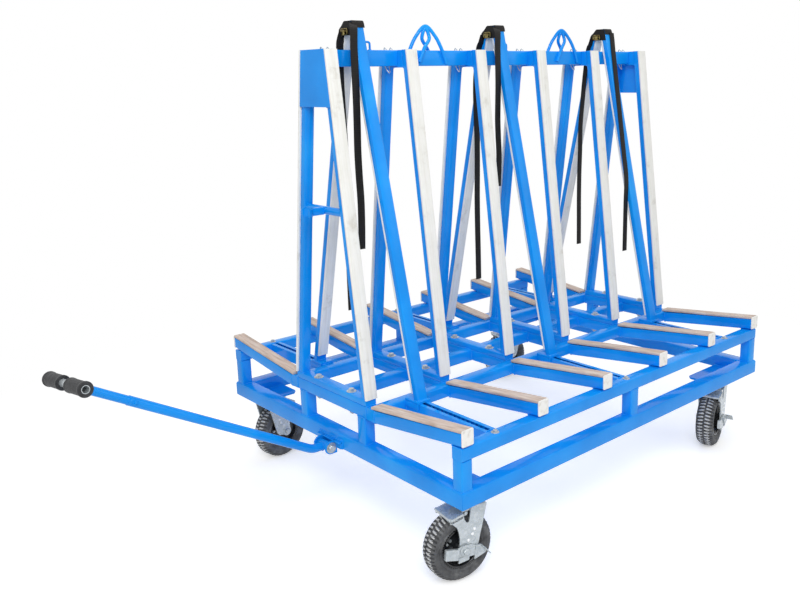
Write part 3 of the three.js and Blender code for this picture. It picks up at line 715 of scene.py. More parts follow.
def castor_plate(bm, m, corner):
    """The plate in one corner of the bottom frame that a castor is bolted to."""
    tubing = settings().tubing
    swivel = castor_lines(corner)[0]
    end = math.copysign(1, swivel.x - m.mid)
    side = math.copysign(1, swivel.y)
    inner_x = m.half_length - tubing.rail
    inner_y = m.half_width - tubing.rail
    beyond, width, cut = 0.079, 0.100, 0.012
    long = inner_x - abs(swivel.x - m.mid) + beyond

    def spot(a, b, z):
        return at(m, end * (inner_x + a), side * (inner_y + b), z)

    steps = [(0, 0), (-long, 0), (-long, -width + cut), (-long + cut, -width), (0, -width)]
    prism(bm, [spot(a, b, m.rail_low) for a, b in steps], UP * tubing.castor_plate)
    top = m.rail_low + tubing.castor_plate
    bead(bm, [spot(-long, 0, top), spot(0, 0, top)])
    bead(bm, [spot(0, 0, top), spot(0, -width, top)])


def dress_side_frames(m):
    """The side rails, each on three short posts."""
    tubing = settings().tubing
    half = tubing.tube / 2
    for name, side in SIDES:
        bm = bmesh.new()
        y = side * m.side_y
        square_tube(bm, at(m, -m.outer_x, y, m.tube_mid), at(m, m.outer_x, y, m.tube_mid), OUTWARD, UP,
                    tubing.tube)
        for x in (-m.outer_x + half, 0, m.outer_x - half):
            foot, head = at(m, x, y, m.rail_top), at(m, x, y, m.tube_low)
            square_tube(bm, foot, head, ALONG, OUTWARD, tubing.tube)
            weld_round(bm, foot, ALONG, OUTWARD)
            if abs(x) < half:
                weld_round(bm, head, ALONG, OUTWARD)
        painted(f"side_frame_{name}_tubes", bm, f"side_frame_{name}")


def cross_tube(bm, m, x):
    """A tube across the cart between the long tubes, welded at both ends."""
    ends = [Vector((x, side * m.foot_half, m.tube_mid)) for side in BOTH]
    square_tube(bm, *ends, ALONG, UP, settings().tubing.tube)
    for end in ends:
        weld_round(bm, end, ALONG, UP)


def dress_end_trestles(m):
    """The cross tubes at both ends, each on two short posts."""
    leg_y = 0.163
    for name, x in (("near", m.frames[0]), ("far", m.frames[-1])):
        bm = bmesh.new()
        cross_tube(bm, m, x)
        for side in BOTH:
            foot = Vector((x, side * leg_y, m.rail_top))
            head = Vector((x, side * leg_y, m.tube_low))
            square_tube(bm, foot, head, ALONG, OUTWARD, settings().tubing.tube)
            weld_round(bm, foot, ALONG, OUTWARD)
            weld_round(bm, head, ALONG, OUTWARD)
        painted(f"end_trestle_{name}_tubes", bm, f"end_trestle_{name}")


def dress_deck_spine(m):
    """The spine between the frames and the inner cross tubes."""
    tubing = settings().tubing
    half = tubing.tube / 2
    bm = bmesh.new()
    for one, two in zip(m.frames, m.frames[1:]):
        ends = [Vector((x, 0, m.tube_mid)) for x in (one + half, two - half)]
        square_tube(bm, *ends, OUTWARD, UP, tubing.tube)
        for end in ends:
            weld_round(bm, end, OUTWARD, UP)
    for x in m.frames[1:-1]:
        cross_tube(bm, m, x)
    painted("deck_spine_tubes", bm, "deck_spine")


def arm_under(m, y):
    """Height of an arm's underside; the arm rises from beside the long tube onto the side rail."""
    return m.tube_top + settings().padding.seat + (y - m.inner_y) * m.arm_tan


def arm_lift(m, side):
    """The direction square to an arm's top."""
    return (UP - OUTWARD * side * m.arm_tan).normalized()


def dress_track_frames(m):
    """The long tubes with their rising arms, and the tracks."""
    tubing = settings().tubing
    half = tubing.tube / 2
    section = rounded_section(tubing.arm_width, tubing.tube, tubing.corner)
    for name, side in SIDES:
        bm = bmesh.new()
        ends = [at(m, end * m.outer_x, side * m.long_y, m.tube_mid) for end in BOTH]
        square_tube(bm, *ends, OUTWARD, UP, tubing.tube)
        low = arm_under(m, m.inner_y)
        for x in m.frames:
            one, two = (Vector((x, side * y, arm_under(m, y) + m.arm_depth / 2))
                        for y in (m.long_outer, m.outer_y))
            sweep(bm, section, one, two, ALONG, arm_lift(m, side), OUTWARD, OUTWARD)
            weld_round(bm, one, ALONG, UP, tubing.arm_width)
            bead(bm, [Vector((x + way * half, side * m.inner_y, low)) for way in BOTH])
        painted(f"arms_{name}", bm, f"track_frame_{name}")
        dress_tracks(m, name, side)


def dress_tracks(m, name, side):
    """The channels that the pole shoes run in, open along the top, with a row of lock notches."""
    wall, mouth = 0.003, 0.014
    half = settings().tubing.tube / 2
    inner = half - wall
    lip = mouth / 2
    right = [(half, -half), (half, half), (lip, half), (lip, inner), (inner, inner), (inner, -inner)]
    section = [(-half, -half)] + right + [(-a, b) for a, b in reversed(right[1:])]
    notches, first, pitch = 13, 0.085, 0.019
    tooth = rounded_section(0.005, 0.006, THIN_CORNER, 1)
    tooth_from_middle, tooth_height = 0.0115, 0.012
    bm = bmesh.new()
    for x in m.poles:
        ends = [Vector((x, side * y, m.tube_mid)) for y in (m.long_outer, m.inner_y)]
        sweep(bm, section, *ends, ALONG, UP)
        for end in ends:
            weld_round(bm, end, ALONG, UP)
        for notch in range(notches):
            y = side * (m.long_outer + first + notch * pitch)
            for way in BOTH:
                high = Vector((x + way * tooth_from_middle, y, m.tube_top - wall))
                sweep(bm, tooth, high - UP * tooth_height, high, ALONG, OUTWARD)
    piece(f"pole_tracks_{name}", bm, blue_powder_coat, "cart", bevel=FINE_EDGE)


# Rack

def post_inner(m, z):
    """Distance of a post's inner face from the middle plane."""
    return settings().tubing.ridge_gap + (m.ridge - z) * m.lean_tan


def post_outer(m, z):
    """Distance of a post's outer face from the middle plane."""
    return post_inner(m, z) + settings().tubing.post_depth / m.lean_cos


def lean_out(m, side):
    """The direction square to a post's leaning face."""
    return (OUTWARD * side * m.lean_cos + UP * math.sin(settings().tubing.lean)).normalized()


def dress_a_frames(m):
    """The A-frames: two leaning posts on a foot tube, and the seats of the top rail."""
    tubing = settings().tubing
    section = rounded_section(tubing.post_width, tubing.post_depth, tubing.corner * 0.8)
    foot_section = rounded_section(tubing.tube, tubing.foot, tubing.corner * 0.7)
    foot_z = m.tube_top + tubing.foot / 2
    last = FRAMES - 1
    for index, x in enumerate(m.frames):
        bm = bmesh.new()
        for side in BOTH:
            foot, head = (Vector((x, side * (post_inner(m, z) + post_outer(m, z)) / 2, z))
                          for z in (m.foot_top, m.ridge))
            sweep(bm, section, foot, head, ALONG, lean_out(m, side), UP, UP)
            weld_round(bm, foot, ALONG, OUTWARD, tubing.post_width, tubing.post_depth)
        ends = [Vector((x, side * m.foot_half, foot_z)) for side in BOTH]
        sweep(bm, foot_section, *ends, ALONG, UP)
        rail_seat(bm, m, x)
        if index in (0, last):
            gusset(bm, m, x, 1 if index else -1)
        if index == 0:
            handle_cradle(bm, m, x)
        painted(f"a_frame_{index + 1}_tubes", bm, f"a_frame_{index + 1}")


def rail_seat(bm, m, x):
    """The blocks between the posts and the top rail, and the strip under the rail."""
    half = settings().tubing.post_width / 2
    rail_low, rail_high = m.rail_box
    gap = settings().padding.seat
    low = rail_low.z - gap
    strip = 0.004
    for side in BOTH:
        block = [(rail_high.y + gap, low), (post_inner(m, low), low),
                 (post_inner(m, rail_high.z), rail_high.z), (rail_high.y + gap, rail_high.z)]
        prism(bm, [Vector((x - half, side * y, z)) for y, z in block], ALONG * 2 * half)
        edge = side * post_inner(m, low - strip)
        bead(bm, [Vector((x + way * half, edge, low - strip)) for way in BOTH])
    ends = [Vector((x, side * post_inner(m, low), low - strip / 2)) for side in BOTH]
    sweep(bm, rounded_section(2 * half, strip, THIN_CORNER, 1), *ends, ALONG, UP)


def gusset(bm, m, x, end):
    """The plate across the top of an end frame, with welds along its lower edge."""
    tubing = settings().tubing
    low = m.ridge - tubing.gusset
    face = x + end * tubing.post_width / 2
    half_low, half_top = post_outer(m, low), post_outer(m, m.ridge)
    outline = [(-half_low, low), (half_low, low), (half_top, m.ridge), (-half_top, m.ridge)]
    prism(bm, [Vector((face, y, z)) for y, z in outline], ALONG * end * tubing.plate)
    for side in BOTH:
        bead(bm, [Vector((face, side * y, low)) for y in (post_inner(m, low), half_low * 0.97)])


def handle_cradle(bm, m, x):
    """The round rung between the near posts and the half-round cradle for the upright tow bar."""
    underside, rung = 1.013, 0.0125
    inner, thick, strip = 0.016, 0.006, 0.024
    stem_corner, bite = 0.002, 0.8
    z = underside + rung
    reach = post_inner(m, z)
    rod(bm, [Vector((x, -reach, z)), Vector((x, reach, z))], rung, sides=28)
    for side in BOTH:
        bead(bm, [Vector((x + rung * math.cos(a), side * (reach - LAP), z + rung * math.sin(a)))
                  for a in angles(16)], closed=True)
    middle = Vector((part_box("a_frame_1")[0].x, 0, z - strip / 2))
    arc = degrees(-90, 90, 10)
    outline = [(inner + thick, a) for a in arc] + [(inner, a) for a in reversed(arc)]
    prism(bm, [middle + Vector((radius * math.cos(a), radius * math.sin(a), 0)) for radius, a in outline],
          UP * strip)
    stem = [Vector((middle.x + inner + thick * bite, 0, z)), Vector((x - rung * bite, 0, z))]
    sweep(bm, rounded_section(2 * thick, strip, stem_corner), *stem, OUTWARD, UP)


def strip_under(m, y):
    """Height of an arm strip's underside."""
    return arm_under(m, y) + m.arm_depth + settings().padding.seat


def dress_pads(m):
    """The lean pads, the arm strips and the caps on the arms' ends."""
    padding = settings().padding
    narrower, strip_corner, from_post = 0.96, 0.0018, 0.028
    section = rounded_section(padding.width * narrower, padding.thick, strip_corner)
    rise = padding.thick / 2 / m.lean_cos
    begin = post_outer(m, m.tube_top) + from_post
    end = m.outer_y + padding.seat
    lowest = m.tube_top + LAP
    for name, side in SIDES:
        for index, x in enumerate(m.frames):
            lean_pad(m, name, side, index, x)
            bm = bmesh.new()
            first = Vector((x, side * begin, max(strip_under(m, begin), lowest) + rise))
            last = Vector((x, side * end, strip_under(m, end) + rise))
            sweep(bm, section, first, last, ALONG, arm_lift(m, side), OUTWARD, OUTWARD, rings=24, sway=0.0006)
            piece(f"arm_strip_{name}_{index + 1}", bm, tan_rubber_belting, "cart",
                  [f"pad_{name}_{index + 1}"], "cream_pad")
            end_cap(m, name, side, index, x, arm_under(m, end), strip_under(m, end) + 2 * rise)


def lean_pad(m, name, side, index, x):
    """The cream strip on the leaning face of a post."""
    padding = settings().padding
    away = (padding.seat + padding.thick / 2) / m.lean_cos
    low = m.foot_top + 2 * padding.seat
    foot, head = (Vector((x, side * (post_outer(m, z) + away), z)) for z in (low, m.ridge))
    pad_corner = 0.0022
    section = rounded_section(padding.width, padding.thick, pad_corner)
    bm = bmesh.new()
    sweep(bm, section, foot, head, ALONG, lean_out(m, side), UP, UP, rings=40, sway=0.0006)
    piece(f"lean_pad_{name}_{index + 1}", bm, cream_rubber_strip, "cart", [f"pad_{name}_{index + 1}"],
          "cream_pad")


def end_cap(m, name, side, index, x, low, high):
    """The white cap on the outer end of an arm."""
    padding = settings().padding
    cap_corner = 0.005
    section = rounded_section(padding.width, high - low, cap_corner, steps=4)
    inner, outer = (Vector((x, side * y, (low + high) / 2)) for y in (m.outer_y + padding.seat, m.half_width))
    bm = bmesh.new()
    sweep(bm, section, inner, outer, ALONG, UP)
    piece(f"arm_cap_{name}_{index + 1}", bm, white_polyethylene_cap, "cart", [f"pad_{name}_{index + 1}"],
          "cream_pad", bevel=0.0018)


def dress_top_rail(m):
    """The top rail with everything that is welded or pinned to it."""
    low, high = m.rail_box
    z = (low.z + high.z) / 2
    section = rounded_section(high.y - low.y, high.z - low.z, settings().tubing.corner * 0.8)
    bm = bmesh.new()
    sweep(bm, section, Vector((low.x, 0, z)), Vector((high.x, 0, z)), OUTWARD, UP)
    painted("top_rail_tube", bm, "top_rail")
    for end in ("near", "far"):
        lifting_crown(m, end)
    for number in range(PAIRS):
        tie_loop(number)
    lock_pins(m)


def lifting_crown(m, end):
    """A wide arch and a knotted loop of round bar, welded to the rail's faces and crossing at the top."""
    rail = m.rail_box[1]
    x = middle_of(f"lifting_crown_{end}").x
    radius = settings().tubing.crown_bar / 2
    face = rail.y + radius + settings().padding.seat
    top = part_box(f"lifting_crown_{end}")[1].z - radius
    # Points of one leg: place along the rail, share of the way out to the rail's face, height above the rail
    arch = [(0.071, 1, -0.042), (0.050, 1, 0.005), (0.030, 0.6, 0.046)]
    knot = [(0.048, 1, -0.038), (0.026, 1, 0.004), (0.015, 0.86, 0.016), (-0.009, 0.38, 0.040)]
    weld_foot, weld_head, weld_share = 0.002, 0.004, 0.85
    bm = bmesh.new()
    for half, turn, height in ((arch, 1, top), (knot, -1, top - radius)):
        one = [Vector((x + turn * a, -share * face, rail.z + up)) for a, share, up in half]
        two = [Vector((x - turn * a, share * face, rail.z + up)) for a, share, up in reversed(half)]
        rod(bm, smooth(one + [Vector((x, 0, height))] + two, 10), radius, sides=14)
        for foot, shoulder in (one[:2], two[:-3:-1]):
            wall = math.copysign(rail.y, foot.y)
            end_x = foot.x * (1 - weld_share) + shoulder.x * weld_share
            for way in BOTH:
                edge = ALONG * way * radius * 0.8
                bead(bm, [Vector((foot.x, wall, foot.z + weld_foot)) + edge,
                          Vector((end_x, wall, rail.z - weld_head)) + edge])
    painted(f"lifting_crown_{end}_bars", bm, f"lifting_crown_{end}", bevel=0.0)


def tie_loop(number):
    """A small loop of round bar on the top rail, with a weld round each foot."""
    low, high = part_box(f"tie_loop_{number + 1}")
    radius = (high.y - low.y) / 2
    half = (high.x - low.x) / 2 - radius
    x = (low.x + high.x) / 2
    bend = 0.007
    turn = high.z - radius - bend
    path = [Vector((x - half, 0, low.z)), Vector((x - half, 0, turn))]
    path += [Vector((x - half + bend * (1 - math.cos(a)), 0, turn + bend * math.sin(a)))
             for a in degrees(15, 90, 15)]
    path += [Vector((2 * x - p.x, 0, p.z)) for p in reversed(path)]
    bm = bmesh.new()
    rod(bm, path, radius, sides=12)
    for side in BOTH:
        bead(bm, [Vector((x + side * half + radius * math.cos(a), radius * math.sin(a), low.z))
                  for a in angles(10)], closed=True)
    painted(f"tie_loop_{number + 1}_bar", bm, f"tie_loop_{number + 1}", bevel=0.0)


def lock_pins(m):
    """Bent wire pins that hold the top rail in its seats."""
    low, high = m.rail_box
    from_frame, wire = 0.032, 0.0016
    behind = high.y + 0.0025
    # One leg of a pin: half its width, place across the rail, height
    leg = [(0.012, high.y * 0.3, high.z + 0.0025), (0.012, behind * 0.75, high.z + 0.008),
           (0.011, behind, high.z - 0.004), (0.009, behind, low.z + 0.006),
           (0.005, behind * 0.6, low.z - 0.014)]
    tip = (behind * 0.4, low.z - 0.020)
    for index, x in enumerate(m.frames):
        middle = x + from_frame if index == 0 else x - from_frame
        path = [Vector((middle - half, y, z)) for half, y, z in leg]
        path += [Vector((middle, *tip))] + [Vector((middle + half, y, z)) for half, y, z in reversed(leg)]
        bm = bmesh.new()
        rod(bm, smooth(path, 6), wire, sides=8)
        plated(f"lock_pin_{index + 1}", bm)


# Clamp poles and straps

def pole_face(m, z):
    """Distance of a pole's pad face from the middle plane."""
    return settings().padding.head_gap + (m.pole_top - z) * m.pole_tan


def pole_middle(m, z):
    """Distance of a pole tube's middle from the middle plane."""
    padding = settings().padding
    return pole_face(m, z) + (padding.thick + padding.pole_depth / 2) / m.pole_cos


def pole_outer(m, z):
    """Distance of a pole's outer face from the middle plane."""
    padding = settings().padding
    return pole_face(m, z) + (padding.thick + padding.pole_depth) / m.pole_cos


def dress_poles(m):
    """The clamp poles with their shoes and pads; the back heads are cut on a slope."""
    padding = settings().padding
    section = rounded_section(padding.pole_width, padding.pole_depth, settings().tubing.corner * 0.7)
    shoe_low = m.tube_top + padding.seat
    shoe_top = shoe_low + padding.thick
    heads = {-1: (m.pole_top, UP),
             1: (m.pole_top - BACK_HEAD_DROP, (UP + OUTWARD * BACK_HEAD_SLOPE).normalized())}
    for number, x in enumerate(m.poles):
        for name, side in SIDES:
            node_name = f"clamp_pole_{name}_{number + 1}"
            deep = (OUTWARD * side + UP * m.pole_tan).normalized()
            head_z, head_cut = heads[side]
            foot, head = (Vector((x, side * pole_middle(m, z), z)) for z in (shoe_top, head_z))
            bm = bmesh.new()
            sweep(bm, section, foot, head, ALONG, deep, UP, head_cut)
            weld_round(bm, foot, ALONG, OUTWARD, padding.pole_width, padding.pole_depth)
            pole_shoe(bm, m, node_name, x, shoe_low, shoe_top, side)
            piece(f"{node_name}_tube", bm, blue_powder_coat, f"pole_{name}_{number + 1}", [node_name],
                  bevel=SOFT_EDGE)
            pole_pad(m, name, number, x, side, deep)


def pole_shoe(bm, m, node_name, x, low, top, side):
    """The plate and cheeks that run on the track."""
    box_low, box_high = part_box(node_name)
    half = (box_high.x - box_low.x) / 2
    run, cheek, drop = 0.062, 0.005, 0.018
    plate_corner, cheek_corner = 0.0015, 0.0012
    begin = m.foot_half + settings().tubing.tube + settings().padding.seat
    cheek_low = m.tube_top - drop
    plate = (rounded_section(2 * half, top - low, plate_corner, 2), x, (low + top) / 2)
    cheeks = [(rounded_section(cheek, low - cheek_low, cheek_corner, 2), x + way * (half - cheek / 2),
               (low + cheek_low) / 2) for way in BOTH]
    for section, place, z in [plate] + cheeks:
        ends = [Vector((place, side * y, z)) for y in (begin, begin + run)]
        sweep(bm, section, *ends, ALONG, UP)


def pole_pad(m, name, number, x, side, deep):
    """The cream strip on the inner face of a pole."""
    padding = settings().padding
    low = m.foot_top + padding.thick
    half = padding.thick / 2 / m.pole_cos
    foot, head = (Vector((x, side * (pole_face(m, z) + half), z)) for z in (low, m.pole_top))
    narrower, thinner, pad_corner = 0.97, 0.98, 0.002
    section = rounded_section(padding.pole_width * narrower, padding.thick * thinner, pad_corner)
    bm = bmesh.new()
    sweep(bm, section, foot, head, ALONG, deep, UP, UP, rings=40, sway=0.0004)
    piece(f"pole_pad_{name}_{number + 1}", bm, cream_rubber_strip, f"pole_{name}_{number + 1}",
          slot="cream_pad")


def dress_straps(m):
    """The strap over each pair of poles, in two halves, and its buckle."""
    for number, x in enumerate(m.poles):
        for name, side in SIDES:
            strap_half(m, number, x, name, side)
        strap_buckle(m, number, x)


def strap_half(m, number, x, name, side):
    """One half of a strap: a cover over the pole's head, flaps beside it and the hanging end."""
    padding = settings().padding
    lie = padding.seat + padding.webbing / 2
    stretch = 0.010
    way = FRONT_TAIL_SIDES[number] if side < 0 else -1
    cover = smooth([Vector((x, side * y, z)) for y, z in cover_line(m, side, lie)], 6)
    bm = bmesh.new()
    ribbon(bm, cover, ALONG, padding.pole_width + 2 * padding.webbing, padding.webbing)
    for edge in sorted({-1, way}):
        strap_flap(bm, m, x + edge * (padding.pole_width / 2 + lie), side)
    stations = crossing_tail(m, number, x) if side < 0 < way else hanging_tail(m, number, x, side, way)
    tail = smooth([Vector((a, side * b, z)) for a, b, z in stations], 8)
    ribbon(bm, tail, ALONG, padding.strap, padding.webbing)
    nodes = [f"strap_{number + 1}"] if side < 0 else []
    across = ("cart", f"pole_{name}_{number + 1}", (x, 0, m.pole_top), (x, side * stretch, m.pole_top))
    piece(f"strap_{name}_{number + 1}", bm, black_polyester_webbing, None, nodes, "webbing", across=across)


def cover_line(m, side, lie):
    """The webbing over a pole's head, as distances from the middle plane and heights."""
    top = m.pole_top
    if side < 0:
        brow = pole_outer(m, top) - 0.002
        line = [(y, top + lie) for y in (0.0, pole_middle(m, top), brow)]
        drops = (0.0072, 0.018)
    else:
        brow = 0.009
        line = [(0.0, top + lie), (brow, top + lie)]
        line += [(brow + fall / BACK_HEAD_SLOPE + lie, top - fall + lie) for fall in (0.004, 0.013)]
        drops = (0.022, 0.034)
    return line + [(pole_outer(m, top - drop) + lie, top - drop) for drop in drops]


def strap_flap(bm, m, x, side):
    """The webbing drawn across the side of a pole's head, upright in the middle and leaning at the pole."""
    height, beyond, spans = 0.040, 0.003, 8
    fall = 0.026 if side > 0 else 0.0
    level = 0.3
    low = m.pole_top - height
    reach = pole_outer(m, m.pole_top - height / 2) + beyond
    leaning = Vector((0, -side * m.pole_tan, 1)).normalized()
    half = ALONG * (settings().padding.webbing / 2)
    rows = []
    for step in range(spans + 1):
        share = step / spans
        tall = height - fall * (max(0.0, share - level) / (1 - level)) ** 2
        foot = Vector((x, side * reach * share, low))
        head = foot + UP.lerp(leaning, share) * tall
        rows.append([bm.verts.new(place) for place in (foot - half, foot + half, head + half, head - half)])
    skin(bm, rows)


def tail_beside(way):
    """Middle of a hanging end from the middle of its pole."""
    padding = settings().padding
    return way * (padding.pole_width / 2 + LAP + padding.strap / 2)


def tail_heights(m, low):
    """Heights of the stations of a hanging end, from a little below the pole's head down."""
    fold, spans = 0.080, 8
    start = m.pole_top - fold
    return [start + (low - start) * step / spans for step in range(spans + 1)]


def crossing_tail(m, number, x):
    """The front end that lies across its pole's face before it hangs free beside it."""
    top = m.pole_top
    start, off = 0.018, 0.003
    fold, shoulder = top - 0.012, top - 0.045
    # The first two stations lead the webbing from the pole's head to its face
    stations = [(x + 0.016, pole_outer(m, fold) + 0.004, fold),
                (x + 0.015, pole_outer(m, shoulder) + off, shoulder)]
    for z in tail_heights(m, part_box(f"strap_{number + 1}")[0].z):
        share = min(1.0, (top - z) / (top - TAIL_CROSSED))
        aside = start + (tail_beside(-1) - start) * share
        stations.append((x + aside, pole_outer(m, max(z, TAIL_CROSSED)) + off, z))
    return stations


def hanging_tail(m, number, x, side, way):
    """An end that hangs straight down beside its pole, the back ones drifting out as they fall."""
    top = m.pole_top
    edge = x + tail_beside(way)
    sway, aside_turn, out_turn = 0.001, 1.7, 1.3
    # The first two stations lead the webbing from the pole's head to where it hangs
    if side < 0:
        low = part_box(f"strap_{number + 1}")[0].z
        hang = pole_outer(m, top - 0.060) + 0.012
        fold = top - 0.010
        stations = [(edge - way * 0.012, pole_outer(m, fold) + 0.006, fold),
                    (edge - way * 0.003, hang - 0.003, top - 0.030)]
    else:
        low = BACK_TAIL_ENDS[number]
        hang = pole_outer(m, top) + BACK_TAIL_OUT[number]
        begin = min(hang, pole_outer(m, top))
        stations = [(edge - way * 0.009, begin - 0.004, top - 0.030),
                    (edge - way * 0.003, begin, top - 0.052)]
    for step, z in enumerate(tail_heights(m, low)):
        drifted = pole_outer(m, top) + (top - z) * BACK_TAIL_DRIFT
        lies = hang if side < 0 else min(hang, drifted)
        stations.append((edge + way * sway * (1 + math.sin(step * aside_turn)),
                         lies + 2 * sway * math.sin(step * out_turn), z))
    return stations


def strap_buckle(m, number, x):
    """The cam buckle on the flap between two pole heads: a wire frame, a cam and a lever."""
    padding = settings().padding
    flap = x - padding.pole_width / 2 - padding.seat - padding.webbing
    stands_off, aside, below = 0.003, 0.006, 0.029
    middle = Vector((flap - stands_off, aside, m.pole_top - below))
    wire, cam, cam_half = 0.0022, 0.0036, 0.012
    ring = rounded_section(0.032, 0.017, 0.005)
    lever = rounded_section(0.015, 0.0028, THIN_CORNER, 2)
    lever_root, lever_tip = Vector((-0.004, 0, 0.005)), Vector((-0.0065, -0.003, -0.011))
    bm = bmesh.new()
    rod(bm, [middle + OUTWARD * a + UP * b for a, b in ring], wire, sides=10, closed=True)
    turned(bm, [(cam, -cam_half), (cam, cam_half)], middle + UP * LAP, OUTWARD, 18, ring=False)
    sweep(bm, lever, middle + lever_root, middle + lever_tip, OUTWARD, ALONG)
    piece(f"strap_buckle_{number + 1}", bm, yellow_zinc_plate, f"pole_back_{number + 1}", slot="zinc",
          bevel=0.0004)


# Castors

def castor_lines(corner):
    """Swivel point, wheel centre, axle direction and rolling direction of one castor."""
    swivel = Vector(joint_called(f"castor_{corner}_swivel")["pos_m"])
    wheel = joint_called(f"wheel_{corner}_spin")
    centre, axle = Vector(wheel["pos_m"]), Vector(wheel["axis"]).normalized()
    ahead = Vector((swivel.x - centre.x, swivel.y - centre.y, 0)).normalized()
    return swivel, centre, axle, ahead


def dress_castors(m):
    """The four castors, the front ones with brake pedals."""
    for corner in CORNERS:
        tyre(corner)
        wheel_centre(corner)
        fork(m, corner)
        swivel_head(m, corner)
        if corner in BRAKED:
            brake_pedal(corner)


def tyre(corner):
    """A tyre with two rows of blocks, half a pitch apart, and a ringed sidewall."""
    wheels = settings().wheels
    _, centre, axle, _ = castor_lines(corner)
    half, outer, inner = wheels.width / 2, wheels.radius, wheels.rim + 0.0005
    # Half the section from the rim to the middle of the tread, as radius and distance from the middle
    wall = [(inner, 0.022), (inner + 0.004, 0.0280), (inner + 0.010, 0.0296), (inner + 0.0115, 0.0286),
            (inner + 0.0135, 0.0302), (outer - 0.024, half - 0.0006), (outer - 0.017, half),
            (outer - 0.0115, half - 0.0015)]
    tread = [(outer - 0.0075, 0.0268), (outer - 0.0035, 0.0222), (outer - 0.0008, 0.0168), (outer, 0.0105),
             (outer, 0.0034), (outer, 0.0016)]
    side = [(radius, -along) for radius, along in wall + tread]
    profile = side + [(radius, -along) for radius, along in reversed(side)]
    steps_per_block, gap_share, slant = 6, 0.42, 12
    tread_half, groove_half = 0.0275, 0.002
    groove_depth, gap_depth = 0.005, 0.0065
    scuff_and_highlight_half, scuff_and_highlight_depth = 0.021, 0.0025

    def cut(step, index, radius):
        along = profile[index][1]
        if abs(along) > tread_half:
            return radius
        if abs(along) < groove_half:
            return radius - groove_depth
        offset = 0.5 if along > 0 else 0.0
        phase = (step / steps_per_block + slant * abs(along) + offset) % 1.0
        return radius - (gap_depth if phase < gap_share else 0.0)

    bm = bmesh.new()
    turned(bm, profile, centre, axle, wheels.blocks * steps_per_block, radius_at=cut)
    made = piece(f"tyre_{corner}_tread", bm, dusty_tyre_rubber, f"wheel_{corner}", [f"tyre_{corner}"], "tyre",
                 angle=28)
    # The tread tops get a pale material: partly scuff from the floor, partly a painted highlight
    made.data.materials.append(material(tread_tops_scuff_and_painted_highlight))
    for face in made.data.polygons:
        from_axle = face.center - centre
        along = from_axle.dot(axle)
        if (from_axle - axle * along).length > outer - scuff_and_highlight_depth and abs(along) < scuff_and_highlight_half:
            face.material_index = 1


def wheel_centre(corner):
    """The pressed wheel centre with its hub, its ring of bolts and the valve."""
    wheels = settings().wheels
    _, centre, axle, ahead = castor_lines(corner)
    hub = wheels.gap / 2 - LAP
    lip = wheels.rim_width / 2
    half = [(0.0088, hub), (0.017, hub), (0.0205, hub - 0.004), (0.021, 0.010), (0.032, 0.006),
            (0.047, 0.007), (0.053, 0.012), (0.0565, lip - 0.0015), (0.058, lip), (0.0618, lip)]
    profile = [(radius, -along) for radius, along in half] + list(reversed(half))
    bm = bmesh.new()
    turned(bm, profile, centre, axle, 64)
    piece(f"wheel_centre_{corner}", bm, black_enamel_wheel, f"wheel_{corner}", [f"rim_{corner}"], "rim")
    bolt_count, bolt_circle, bolt_seat, bolt, bolt_height = 5, 0.036, 0.0066, 0.010, 0.005
    bm = bmesh.new()
    for a in angles(bolt_count):
        out = (ahead * math.cos(a) + UP * math.sin(a)) * bolt_circle
        for way in BOTH:
            hex_head(bm, centre + out + axle * way * bolt_seat, axle * way, bolt, bolt_height, washer=False)
    valve = [(0.0042, 0.0), (0.0042, 0.016), (0.0030, 0.018)]
    valve_behind, valve_up, valve_out = 0.047, 0.021, 0.008
    seat = centre - ahead * valve_behind + UP * valve_up - axle * valve_out
    turned(bm, valve, seat, -axle, 16, ring=False)
    plated(f"wheel_bolts_{corner}", bm, f"wheel_{corner}")


def crown_top():
    """Height of a fork's flat crown."""
    over_tyre = 0.016
    return 2 * settings().wheels.radius + over_tyre


